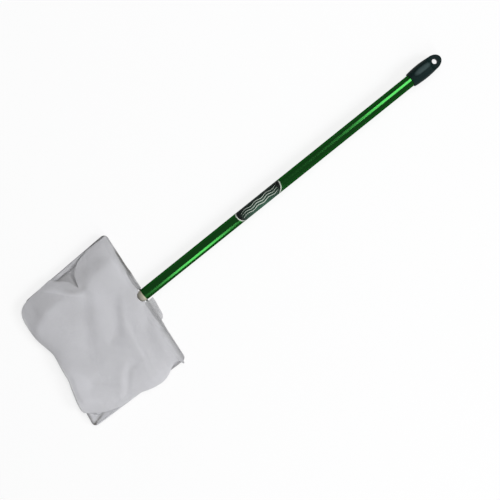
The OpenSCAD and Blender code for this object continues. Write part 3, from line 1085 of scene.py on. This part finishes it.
def left_lip_block(lip, crown):
    """Left lip, turned under to the gusset's fold and back to the hem where it is sewn."""
    x = lip[:, 0]
    arm_y = left_arm_y(x)
    deep = tuck_depth(x)
    mouth = ease(deep / MOUTH_DEEP)
    fold_y = np.minimum(line_y(GUSSET_FOLD, x), lip[:, 1] - FOLD_LEAST)
    under_z = panel_height(x, fold_y, crown) - UNDER_GAP
    under_z = np.where(arm_y - fold_y < STITCH_IN, np.maximum(under_z, SLEEVE_CLEAR), under_z)
    sewn = past(x, SEWN_FROM)
    sewn_y = arm_y - STITCH_IN - PAST_STITCHES + stepped(x, MOUTH_OUT) * mouth
    end_y = fold_y + (sewn_y - fold_y) * sewn
    end_z = under_z + (GUSSET_SEWN_Z - MOUTH_LOWER * mouth - under_z) * sewn
    stops = [np.column_stack([x, fold_y, under_z]), np.column_stack([x, end_y, end_z])]
    # Painted shade in the pocket: more on its far side, less on its near side, where the lip casts a real
    # shadow
    side = np.clip((x - TUCK_X) / POCKET_BLEND, -1, 1)
    pocket_shade = (POCKET_SHADE - POCKET_SIDES * side) * past(deep, POCKET_DEEP)
    return turned_under(lip, outward_of(lip[:, :2], -1), stops, 2 + pocket_shade)


def right_lip_block(lip, layers_and_painted_light):
    """Right lip, turned under over the sleeve to the stitches."""
    arm_y = right_arm_y(lip[:, 0])
    x = np.maximum(lip[:, 0], RIGHT_LIP_END)
    over = np.column_stack([x, np.maximum(arm_y + OVER_SLEEVE, lip[:, 1] + RIGHT_LEAST)])
    hem = np.column_stack([x, arm_y + STITCH_IN + 2 * PAST_STITCHES])
    stops = [with_height(over, SLEEVE_CLEAR), with_height(hem, LIP_SEWN_Z)]
    return turned_under(lip, outward_of(lip[:, :2], 1), stops, layers_and_painted_light)


def near_lip_block(lip, layers_and_painted_light):
    """Near lip, turned under over the sleeve to the stitches."""
    wire_x = near_x(lip[:, 1])
    over_x = np.minimum(wire_x - OVER_SLEEVE, lip[:, 0] - NEAR_LEAST)
    hem_x = np.minimum(wire_x - STITCH_IN - PAST_STITCHES, lip[:, 0] - 2 * NEAR_LEAST)
    over = np.column_stack([over_x, lip[:, 1]])
    hem = np.column_stack([hem_x, lip[:, 1]])
    stops = [with_height(over, SLEEVE_CLEAR), with_height(hem, LIP_SEWN_Z)]
    return turned_under(lip, outward_of(lip[:, :2], -1), stops, layers_and_painted_light)


def front_panel_blocks(crown):
    """The panel that lies over the mouth, with its lips turned under to the hem."""
    x, y = front_panel_plan()
    main = np.stack([x, y, panel_height(x, y, crown)], axis=-1)
    # Layers under the panel, with painted shade and painted light
    layers_and_painted_light = panel_layers_and_painted_light(x, y)
    return [
        (main, main[..., :2], 0, layers_and_painted_light),
        left_lip_block(main[:, -1], crown),
        right_lip_block(main[:, 0], layers_and_painted_light[:, 0]),
        near_lip_block(main[0], layers_and_painted_light[0]),
    ]


# Back panel: how far in BACK_FOLD is drawn, the grid, the hairpin at the fold, the heights at the hem
# and the fold, and how the lower leaf sags between them
FOLD_IN = 80.0
BACK_COLS = 120
LEAF_ROWS = 44
HAIRPIN_R = 1.3
HAIRPIN_STEPS = 8
BACK_HEM_Z = -0.9
BACK_FOLD_Z = 0.3
BACK_SAG = 4.6
BACK_SAG_SKEW = 0.8
BACK_FIRM = 6.0
BACK_CRUMPLES = [(0.7, 24, 2.2)]

# Its upper leaf: height as a share of the front panel's, gap under the seam, and where it turns up to it
BACK_SHARE = 0.42
SEAM_GAP = 0.7
SEAM_TURN = (0.72, 0.28)


def lower_leaf(hem, fold):
    """Rows of the back panel from the hem in to its fold, sagging between them."""
    rows = []
    for f in np.linspace(0, 1, LEAF_ROWS + 1):
        plan = hem + (fold - hem) * f
        hang = BACK_SAG * math.sin(math.pi * f**BACK_SAG_SKEW)
        sag = crumples(plan[:, 0], plan[:, 1], BACK_CRUMPLES) - hang
        level = BACK_HEM_Z + (BACK_FOLD_Z - BACK_HEM_Z) * f
        rows.append(with_height(plan, level + sag * min(1, BACK_FIRM * f) * min(1, BACK_FIRM * (1 - f))))
    return rows


def hairpin(fold):
    """Rows of the back panel round its fold."""
    rows = []
    for k in range(1, HAIRPIN_STEPS):
        a = math.pi * k / HAIRPIN_STEPS
        plan = fold + np.array([HAIRPIN_R * math.sin(a), 0])
        rows.append(with_height(plan, BACK_FOLD_Z + HAIRPIN_R * (1 - math.cos(a))))
    return rows


def upper_leaf(fold, seam, crown):
    """Rows of the back panel from its fold out to the bottom seam, under the front panel."""
    rows = []
    start = BACK_FOLD_Z + 2 * HAIRPIN_R
    for f in np.linspace(0, 1, LEAF_ROWS + 1):
        plan = fold + (seam - fold) * f
        under = np.maximum(start, BACK_SHARE * panel_height(plan[:, 0], plan[:, 1], crown))
        z = start + (under - start) * ease(f * 4)
        z = z + (seam_z(plan[:, 1]) - SEAM_GAP - z) * past(f, SEAM_TURN)
        rows.append(with_height(plan, z))
    return rows


def back_panel_blocks(crown, fold_in):
    """The panel sewn to the far side: in from the hem, round a fold, and back to the bottom seam."""
    seam = smooth_curve(FAR_EDGE, BACK_COLS + 1)
    hem_y = np.linspace(*BACK_HEM, BACK_COLS + 1)
    hem = np.column_stack([far_x(hem_y) + STITCH_IN + PAST_STITCHES, hem_y])
    fold = smooth_curve(BACK_FOLD, BACK_COLS + 1)
    fold[:, 0] = far_x(fold[:, 1]) + (fold[:, 0] - far_x(fold[:, 1])) * fold_in / FOLD_IN
    grid = np.stack([*lower_leaf(hem, fold), *hairpin(fold), *upper_leaf(fold, seam, crown)])
    steps = np.linalg.norm(np.diff(grid, axis=0), axis=2)
    run = np.concatenate([np.zeros((1, len(hem_y))), np.cumsum(steps, axis=0)])
    cut = np.stack([run, np.broadcast_to(hem_y, run.shape)], axis=-1)
    return [(grid, cut, 0, 1)]


# Hem: its section, how far the sleeve stands loose outside the wire beside the pole, how rough it is,
# and the row of its grid on which the cut is measured
SLEEVE_STEPS = 16
BAND_STEPS = 8
BAND_Z = 0.5
SLEEVE_MEET = math.radians(76)
LOOSE_OUT = 0.9
NEAR_SIDE_X = -20.0
SLEEVE_ROUGH, SLEEVE_ROUGH_SIZE = 0.07, 9
BAND_RIPPLE, BAND_RIPPLE_SIZE = 0.22, 6
CUT_SAMPLE = 5

# Painted shade on the hem, as layers: over the gusset, less on its near side, and along its bare band by
# the pole
OVER_TUCK_SHADE = 2.1
OVER_TUCK_FROM = (95.0, 12.0)
OVER_TUCK_SHARE = (1.0, [(-0.6, (-62.0, 10.0))])
BARE_BAND_SHADE = 2.4
BARE_BAND_EDGE = (0.0, 2.0)
BARE_BAND_IN = (13.0, 8.0)

# How grey the hem is painted on each side of the rim, for the wire seen through it and as painted shade,
# along it, and how far in that reaches
NEAR_GREY = (3.8, [(3.4, (28.0, 20.0)), (-4.2, (80.0, 14.0))])
FAR_GREY = 5.0
RIGHT_GREY = (0.3, [(3.7, (-50.0, 8.0))])
LEFT_GREY = (0.3, [(4.7, (-40.0, 30.0))])
GREY_IN = 6.0

# Loose end of the hem: its size, its grid, its heights at the wire and at its edge, how it curls up and
# waves, and the painted shade on it
FLAP_GAP = 0.5
FLAP_LEN = 39.0
FLAP_OUT = 9.5
FLAP_ROWS, FLAP_COLS = 14, 40
FLAP_ROOT_Z = 0.9
FLAP_EDGE_Z = -0.6
FLAP_CURL = 1.6
FLAP_WAVE = 0.5
FLAP_SHADE = 4.0


def hem_section():
    """Places round the hem's closed section: out along the upper band, round the wire, and back in."""
    shares = [(k + 1) / (BAND_STEPS + 1) for k in range(BAND_STEPS + 1)]
    sweep = 2 * (math.pi - SLEEVE_MEET)
    upper = [("band", at, 1) for at in reversed(shares)]
    sleeve = [("sleeve", SLEEVE_MEET + sweep * k / SLEEVE_STEPS, 0) for k in range(SLEEVE_STEPS + 1)]
    lower = [("band", at, -1) for at in shares]
    return [*upper, *sleeve, *lower, upper[0]]


def hem_blocks(hem_width, sleeve_radius):
    """Sleeve round the wire with its band sewn flat inside, as one closed section along the rim."""
    line = rim_line(near_point(-HEM_END), near_point(HEM_END), RIM, CORNER_R, RIM_STEP)
    inner = inner_edge(line, hem_width)
    inward = -outward_of(line, 1)
    loose = LOOSE_OUT * by_pole(line[:, 1]) * (line[:, 0] > NEAR_SIDE_X)
    top = sleeve_radius * math.sin(SLEEVE_MEET) - BAND_Z
    section = hem_section()
    columns = []
    for kind, at, side in section:
        if kind == "sleeve":
            rough = crumple(line[:, 0], line[:, 1], SLEEVE_ROUGH_SIZE, at)
            r = sleeve_radius * (1 + SLEEVE_ROUGH * rough)
            reach = r * math.cos(at) + loose * min(0, math.cos(at))
            columns.append(np.column_stack([line + inward * reach[:, None], r * math.sin(at)]))
        else:
            plan = line + (inner - line) * at
            ripple = BAND_RIPPLE * crumple(plan[:, 0], plan[:, 1], BAND_RIPPLE_SIZE, side)
            tent = BAND_Z + top * max(0, 1 - at * hem_width / STITCH_IN)
            columns.append(np.column_stack([plan, side * tent + ripple * at]))
    columns[-1] = columns[0]
    grid = np.stack(columns, axis=1)
    across = run_length(grid[CUT_SAMPLE])
    cut = np.stack(np.meshgrid(run_length(line), across, indexing="ij"), axis=-1)
    # Painted shade on the hem, with the wire's grey
    layers_and_painted_light = hem_layers_and_painted_light(grid, line, section)
    first, last = BAND_STEPS, BAND_STEPS + SLEEVE_STEPS + 2
    parts = [(slice(0, first + 1), 0), (slice(first, last + 1), 1), (slice(last, None), 0)]
    strips = [(grid[:, part], cut[:, part], finish, layers_and_painted_light[:, part]) for part, finish in parts]
    return [*strips, hem_flap_block(sleeve_radius)]


def hem_layers_and_painted_light(grid, line, section):
    """Hem's painted shade and the wire's grey: over the gusset, in its crease, over the wire, and bare by
    the pole.
    """
    x, y = grid[..., 0], grid[..., 1]
    # Painted shade over the gusset and along the bare band
    over_tuck = past(y, OVER_TUCK_FROM) * stepped(x, OVER_TUCK_SHARE)
    # Wire's grey seen through the hem, with painted shade
    over_wire = wire_grey_and_shade(line)[:, None] * np.array([wire_and_shade_share(kind, at) for kind, at, _ in section])
    bare = by_pole(y) * stretch(near_x(y) - x, BARE_BAND_EDGE, BARE_BAND_IN)
    # Painted shade in the hem's crease
    crease_shade = fold_lift(x, y, HEM_CREASE_SHADE)
    return OVER_TUCK_SHADE * over_tuck + crease_shade + over_wire + BARE_BAND_SHADE * bare


def wire_and_shade_share(kind, at):
    """How much of the wire's grey and painted shade shows at a place of the hem's section: most outside
    the wire.
    """
    return 1.1 - 0.5 * math.cos(at) if kind == "sleeve" else (1 - at) ** 3


def wire_grey_and_shade(line):
    """How grey the hem is painted along the rim, for the wire and as painted shade: most where the mesh
    is drawn tight.
    """
    x, y = line[:, 0], line[:, 1]
    sides = [
        (near_x(y) - x, stepped(y, NEAR_GREY)),
        (x - far_x(y), FAR_GREY),
        (y - right_arm_y(x), stepped(x, RIGHT_GREY)),
        (left_arm_y(x) - y, stepped(x, LEFT_GREY)),
    ]
    return np.max([grey * ease(1 - gap / GREY_IN) for gap, grey in sides], axis=0)


def inner_edge(line, deep):
    """Point of the hem's inner edge that belongs to each point of the rim."""
    stops = [near_point(-HEM_END) - [deep, 0], *rim_inset(deep), near_point(HEM_END) - [deep, 0]]
    edge = np.zeros_like(line)
    for i, p in enumerate(line):
        spots = []
        for a, b in zip(stops, stops[1:]):
            way = b - a
            share = np.clip((p - a) @ way / (way @ way), 0, 1)
            spots.append(a + way * share)
        edge[i] = min(spots, key=lambda q: np.linalg.norm(q - p))
    return edge


def hem_flap_block(sleeve_radius):
    """Loose end of the hem that stands out past the wire beside the pole."""
    grid = np.zeros((FLAP_ROWS, FLAP_COLS, 3))
    for j, along in enumerate(np.linspace(0, 1, FLAP_COLS)):
        y = -HEM_END - FLAP_GAP - FLAP_LEN * along
        start = near_x(y) + sleeve_radius * 0.8
        reach = FLAP_OUT * math.sqrt(max(1 - along**5, 0)) * (1 + 0.05 * math.sin(9 * along))
        for i, out in enumerate(np.linspace(0, 1, FLAP_ROWS)):
            curl = FLAP_CURL * out**2 * (1 - along) + FLAP_WAVE * math.sin(11 * along + 2 * out) * out
            z = FLAP_ROOT_Z * (1 - out) + curl + FLAP_EDGE_Z * out
            grid[i, j] = start + reach * out, y, z
    # Painted shade on the flap
    return grid, grid[..., :2], 0, FLAP_SHADE


def line_mesh(name, lines):
    """Lines of flat points as a mesh of edges."""
    points, edges = [], []
    for line in lines:
        start = len(points)
        points += lay(line).tolist()
        edges += [(k, k + 1) for k in range(start, len(points) - 1)]
    mesh = bpy.data.meshes.new(name)
    mesh.from_pydata(points, edges, [])
    return mesh


def sewing_tree(name, with_cord):
    """Stitches set along lines, each turned by a slant. A seam has a cord along each line as well."""
    tree = bpy.data.node_groups.new(name, "GeometryNodeTree")
    face = tree.interface
    face.new_socket("Geometry", in_out="INPUT", socket_type="NodeSocketGeometry")
    for label in ("Pitch", "Length", "Thickness", "Slant"):
        face.new_socket(label, in_out="INPUT", socket_type="NodeSocketFloat")
    face.new_socket("Thread", in_out="INPUT", socket_type="NodeSocketMaterial")
    face.new_socket("Geometry", in_out="OUTPUT", socket_type="NodeSocketGeometry")
    g = Graph(tree)
    entry = tree.nodes.new("NodeGroupInput")
    given = {socket.name: Value(g, socket) for socket in entry.outputs if socket.name}
    line = g.node("GeometryNodeMeshToCurve", None, {"Mesh": given["Geometry"]})
    spaced = g.node("GeometryNodeResampleCurve", {"mode": "LENGTH"}, {
        "Curve": line, "Length": given["Pitch"],
    })
    facing = g.node("FunctionNodeAlignRotationToVector", {"axis": "X"}, {
        "Vector": g.node("GeometryNodeInputTangent"),
    })
    slant = g.node("FunctionNodeEulerToRotation", None, {
        "Euler": g.node("ShaderNodeCombineXYZ", None, {"Z": given["Slant"]}),
    })
    turned = g.node("FunctionNodeRotateRotation", {"rotation_space": "LOCAL"}, {
        "Rotation": facing, "Rotate By": slant,
    })
    size = g.node("ShaderNodeCombineXYZ", None, {
        "X": given["Length"], "Y": given["Thickness"], "Z": given["Thickness"],
    })
    stitch = g.node("GeometryNodeMeshUVSphere", None, {"Segments": 8, "Rings": 6, "Radius": 0.5})
    sewn = g.node("GeometryNodeInstanceOnPoints", None, {
        "Points": spaced, "Instance": stitch, "Rotation": turned, "Scale": size,
    })
    made = g.node("GeometryNodeRealizeInstances", None, {"Geometry": sewn})
    if with_cord:
        ring = g.node("GeometryNodeCurvePrimitiveCircle", None, {
            "Resolution": 8, "Radius": given["Thickness"] * 0.55,
        })
        cord = g.node("GeometryNodeCurveToMesh", None, {
            "Curve": line, "Profile Curve": ring, "Fill Caps": True,
        })
        both = tree.nodes.new("GeometryNodeJoinGeometry")
        for part in (cord, made):
            tree.links.new(part.socket, both.inputs[0])
        made = Value(g, both.outputs[0])
    smooth = g.node("GeometryNodeSetShadeSmooth", None, {"Geometry": made})
    dressed = g.node("GeometryNodeSetMaterial", None, {"Geometry": smooth, "Material": given["Thread"]})
    leave = tree.nodes.new("NodeGroupOutput")
    g.feed(leave.inputs[0], dressed)
    return tree


def sew(name, lines, tree, inputs):
    """Runs a sewing tree over lines and returns the plain mesh."""
    source = bpy.data.objects.new(name + "_lines", line_mesh(name + "_lines", lines))
    bpy.context.scene.collection.objects.link(source)
    modifier = source.modifiers.new("sewing", "NODES")
    modifier.node_group = tree
    for socket in tree.interface.items_tree:
        if socket.in_out == "INPUT" and socket.name in inputs:
            modifier[socket.identifier] = inputs[socket.name]
    bpy.context.view_layer.update()
    graph = bpy.context.evaluated_depsgraph_get()
    mesh = bpy.data.meshes.new_from_object(source.evaluated_get(graph), depsgraph=graph)
    mesh.name = name
    source.modifiers.clear()
    bpy.data.objects.remove(source)
    return mesh


# Hem stitches: how far their row's corners are bent, and its height over and under the band
STITCH_CORNER_R = 2.0
STITCH_Z = 0.75
STITCH_SLANT = 0.06

# Seam along the bag's bottom edge: rows of slanted threads inside it, over and under, and loops round it
SEAM_POINTS = 240
SEAM_IN = 1.6
SEAM_ROWS_Z = (0.35, -1.1)
SEAM_THREAD = 0.0036
SEAM_SLANT = math.radians(62)
LOOPS_Z = -0.35
LOOP_SLANT = 0.5


class PONDNET_OT_pole(bpy.types.Operator):
    """Finish the tube, its label and the hang cap"""

    bl_idname = "pondnet.pole"
    bl_label = "Finish pole"

    def execute(self, context):
        colours = context.scene.pond_net_colours
        refinish("pole_tube", anodised_green(colours.tube))
        label = printed_film(colours.film, colours.film_middle, colours.ink, colours.tube)
        refinish("pole_label", label)
        # The cap's paler patch is a painted highlight
        refinish("hang_cap", moulded_black(colours.cap, colours.painted_highlight))
        return {"FINISHED"}


class PONDNET_OT_rim(bpy.types.Operator):
    """Finish the rim wire and the bung that holds it"""

    bl_idname = "pondnet.rim"
    bl_label = "Finish rim"

    def execute(self, context):
        colours = context.scene.pond_net_colours
        refinish("rim_wire", plated_wire(colours.wire))
        refinish("frame_bung", moulded_cream(colours.bung))
        return {"FINISHED"}


class PONDNET_OT_hem(bpy.types.Operator):
    """Sew the mesh hem round the wire"""

    bl_idname = "pondnet.hem"
    bl_label = "Sew hem"

    def execute(self, context):
        cloth = context.scene.pond_net_cloth
        colours = context.scene.pond_net_colours
        blocks = hem_blocks(cloth.hem_width / MM, cloth.sleeve_radius / MM)
        finishes = [
            fine_mesh("hem_mesh", colours.mesh, cloth.weave_pitch, cloth.hem_hole),
            fine_mesh("sleeve_mesh", colours.mesh, cloth.weave_pitch, cloth.sleeve_hole),
        ]
        new_piece("sewn_hem", sheet_mesh("sewn_hem", blocks, finishes), ["rim_hem"])
        thread = sewing_thread(colours.thread)
        path = rim_line(
            near_point(-HEM_END - 1) - [STITCH_IN, 0], near_point(HEM_END + 1) - [STITCH_IN, 0],
            rim_inset(STITCH_IN), STITCH_CORNER_R, RIM_STEP,
        )
        rows = [with_height(path, z) for z in (STITCH_Z, -STITCH_Z)]
        stitches = sew("hem_stitches", rows, sewing_tree("Hem stitches", False), {
            "Pitch": cloth.stitch_pitch, "Length": cloth.stitch_pitch * 0.85,
            "Thickness": cloth.thread, "Slant": STITCH_SLANT, "Thread": thread,
        })
        new_piece("hem_stitches", stitches)
        return {"FINISHED"}


class PONDNET_OT_bag(bpy.types.Operator):
    """Lay the bag's two mesh panels and sew the seam that joins them"""

    bl_idname = "pondnet.bag"
    bl_label = "Lay bag"

    def execute(self, context):
        cloth = context.scene.pond_net_cloth
        colours = context.scene.pond_net_colours
        crown = cloth.crown / MM
        woven = fine_mesh("panel_mesh", colours.mesh, cloth.weave_pitch, cloth.panel_hole)
        sheets = {
            "front_panel": front_panel_blocks(crown),
            "back_panel": back_panel_blocks(crown, cloth.fold_in / MM),
        }
        front, back = [
            new_piece(name, sheet_mesh(name, blocks, [woven]), ["bag_" + name])
            for name, blocks in sheets.items()
        ]
        for panel in (front, back):
            thicken(panel, cloth.thickness)
        edge = smooth_curve(FAR_EDGE, SEAM_POINTS)
        edge_z = seam_z(edge[:, 1])
        inside = edge - outward_of(edge, 1) * SEAM_IN
        thread = bpy.data.materials.get("sewing_thread") or sewing_thread(colours.thread)
        tree = sewing_tree("Overlock seam", True)
        rows = [with_height(inside, edge_z + z) for z in SEAM_ROWS_Z]
        seam_mesh = sew("overlock_seam", rows, tree, {
            "Pitch": cloth.overlock_pitch, "Length": SEAM_THREAD,
            "Thickness": cloth.thread, "Slant": SEAM_SLANT, "Thread": thread,
        })
        seam = new_piece("overlock_seam", seam_mesh, ["bag_seam"])
        loops_mesh = sew("overlock_loops", [with_height(edge, edge_z + LOOPS_Z)], tree, {
            "Pitch": cloth.overlock_pitch, "Length": cloth.overlock_pitch * 1.3,
            "Thickness": cloth.thread * 1.5, "Slant": LOOP_SLANT, "Thread": thread,
        })
        loops = new_piece("overlock_loops", loops_mesh)
        return {"FINISHED"}


# Lamps: place and target in millimetres of the flat net, and size in metres
SIDE_LAMP = ((0, -2010, 1310), (105, 0, 0), (0.25, 2.0))
TOP_LAMP = ((1046, 330, 2460), (545, 0, 0), (0.35, 2.0))

# Low light: the direction it comes from and its spread
FOLD_LIGHT_FROM = (0.56, -0.60, 0.57)
FOLD_LIGHT_SPREAD = math.radians(22)

# Floor: half its width, and how far it lies under the net
FLOOR_HALF = 4.0
FLOOR_DROP = 0.0003


class PONDNET_OT_stage(bpy.types.Operator):
    """Set the floor, the lamps and the camera"""

    bl_idname = "pondnet.stage"
    bl_label = "Set stage"

    def execute(self, context):
        stage = context.scene.pond_net_stage
        self.floor(context.scene.pond_net_colours.floor, stage.glow)
        self.room(context.scene, stage)
        self.lamp("side_lamp", *SIDE_LAMP, stage.side_lamp)
        self.lamp("top_lamp", *TOP_LAMP, stage.top_lamp)
        self.low_light("fold_lamp", FOLD_LIGHT_FROM, FOLD_LIGHT_SPREAD, stage.fold_lamp)
        self.camera(context.scene, stage)
        context.scene.view_settings.view_transform = "Standard"
        return {"FINISHED"}

    def floor(self, colour, glow):
        """White floor. Where the camera sees it, but not through the mesh, it is partly its own white."""
        mesh = bpy.data.meshes.new("floor")
        corners = [(-1, -1), (1, -1), (1, 1), (-1, 1)]
        mesh.from_pydata([(x * FLOOR_HALF, y * FLOOR_HALF, 0) for x, y in corners], [], [(0, 1, 2, 3)])
        f = Finish("white_floor")
        cloud = f.noise(f.place((1, 1, 1)), 9, 3)
        path = f.tree.nodes.new("ShaderNodeLightPath")
        seen = self.looked_at(f) * (Value(f, path.outputs["Transparent Depth"]) < 0.5)
        f.surface({
            "Base Color": f.mix(cloud, tint(colour, 0.99), tint(colour, 1.01)),
            "Roughness": 0.9,
            "Specular IOR Level": 0.0,
        })
        light = f.node("ShaderNodeEmission", None, {"Color": (1, 1, 1, 1)})
        mixed = f.node("ShaderNodeMixShader", None, {
            0: seen * glow, 1: Value(f, f.shader.outputs[0]), 2: light,
        })
        f.feed(f.tree.nodes["Material Output"].inputs[0], mixed)
        mesh.materials.append(f.material)
        floor = bpy.data.objects.new("floor", mesh)
        floor.location.z = -FLOOR_DROP
        bpy.context.scene.collection.objects.link(floor)

    def room(self, scene, stage):
        world = bpy.data.worlds.new("room")
        scene.world = world
        world.use_nodes = True
        g = Graph(world.node_tree)
        g.tree.nodes.clear()
        seen = self.looked_at(g)
        light = g.node("ShaderNodeBackground", None, {
            "Color": (1, 1, 1, 1), "Strength": stage.room + seen * (stage.backdrop - stage.room),
        })
        out = g.tree.nodes.new("ShaderNodeOutputWorld")
        g.feed(out.inputs[0], light)

    def looked_at(self, graph):
        """1 where the camera sees a surface, straight on or in a glossy or clear one, and 0 elsewhere."""
        path = graph.tree.nodes.new("ShaderNodeLightPath")
        seen = Value(graph, path.outputs["Is Camera Ray"])
        for name in ("Is Glossy Ray", "Is Transmission Ray"):
            seen = seen.max(Value(graph, path.outputs[name]))
        return seen

    def low_light(self, name, toward, spread, strength):
        """Even light from one direction, with soft shadows."""
        data = bpy.data.lights.new(name, "SUN")
        data.angle = spread
        data.color = (0.97, 0.975, 1.0)
        data.energy = strength
        light = bpy.data.objects.new(name, data)
        light.rotation_euler = Vector(toward).to_track_quat("Z", "Y").to_euler()
        bpy.context.scene.collection.objects.link(light)

    def lamp(self, name, place, target, size, radiance):
        """A lamp that faces its target, with one side level along the pole."""
        data = bpy.data.lights.new(name, "AREA")
        data.shape = "RECTANGLE"
        data.size, data.size_y = size
        data.energy = radiance * math.pi * size[0] * size[1]
        lamp = bpy.data.objects.new(name, data)
        lamp.location = lay(place)
        back = (lamp.location - Vector(lay(target))).normalized()
        side = (Vector((1, 0, 0)) - back * back.x).normalized()
        lamp.rotation_euler = Matrix((side, back.cross(side), back)).transposed().to_euler()
        bpy.context.scene.collection.objects.link(lamp)

    def camera(self, scene, stage):
        data = bpy.data.cameras.new("camera")
        data.sensor_width = 36.0
        data.lens = data.sensor_width * stage.camera_height / stage.view_width
        camera = bpy.data.objects.new("camera", data)
        along, across = stage.view_centre
        camera.location = NET_END + Vector((along, across, stage.camera_height))
        camera.rotation_euler = (0, 0, stage.view_turn)
        scene.collection.objects.link(camera)
        scene.camera = camera


OPERATORS = [PONDNET_OT_pole, PONDNET_OT_rim, PONDNET_OT_hem, PONDNET_OT_bag, PONDNET_OT_stage]


class PONDNET_PT_panel(bpy.types.Panel):
    """Lists the steps that dress the net"""

    bl_idname = "PONDNET_PT_panel"
    bl_label = "Pond net"
    bl_space_type = "VIEW_3D"
    bl_region_type = "UI"
    bl_category = "Pond net"

    def draw(self, context):
        for step in OPERATORS:
            self.layout.operator(step.bl_idname)


SETTINGS = {
    "pond_net_cloth": PondNetCloth,
    "pond_net_colours": PondNetColours,
    "pond_net_stage": PondNetStage,
}
CLASSES = [*SETTINGS.values(), *OPERATORS, PONDNET_PT_panel]


def register():
    for cls in CLASSES:
        bpy.utils.register_class(cls)
    for name, group in SETTINGS.items():
        setattr(bpy.types.Scene, name, PointerProperty(type=group))


def unregister():
    for name in SETTINGS:
        delattr(bpy.types.Scene, name)
    for cls in reversed(CLASSES):
        bpy.utils.unregister_class(cls)


def main():
    register()
    bpy.ops.pondnet.pole()
    bpy.ops.pondnet.rim()
    bpy.ops.pondnet.hem()
    bpy.ops.pondnet.bag()
    bpy.ops.pondnet.stage()
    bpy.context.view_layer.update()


if __name__ == "__main__":
    main()
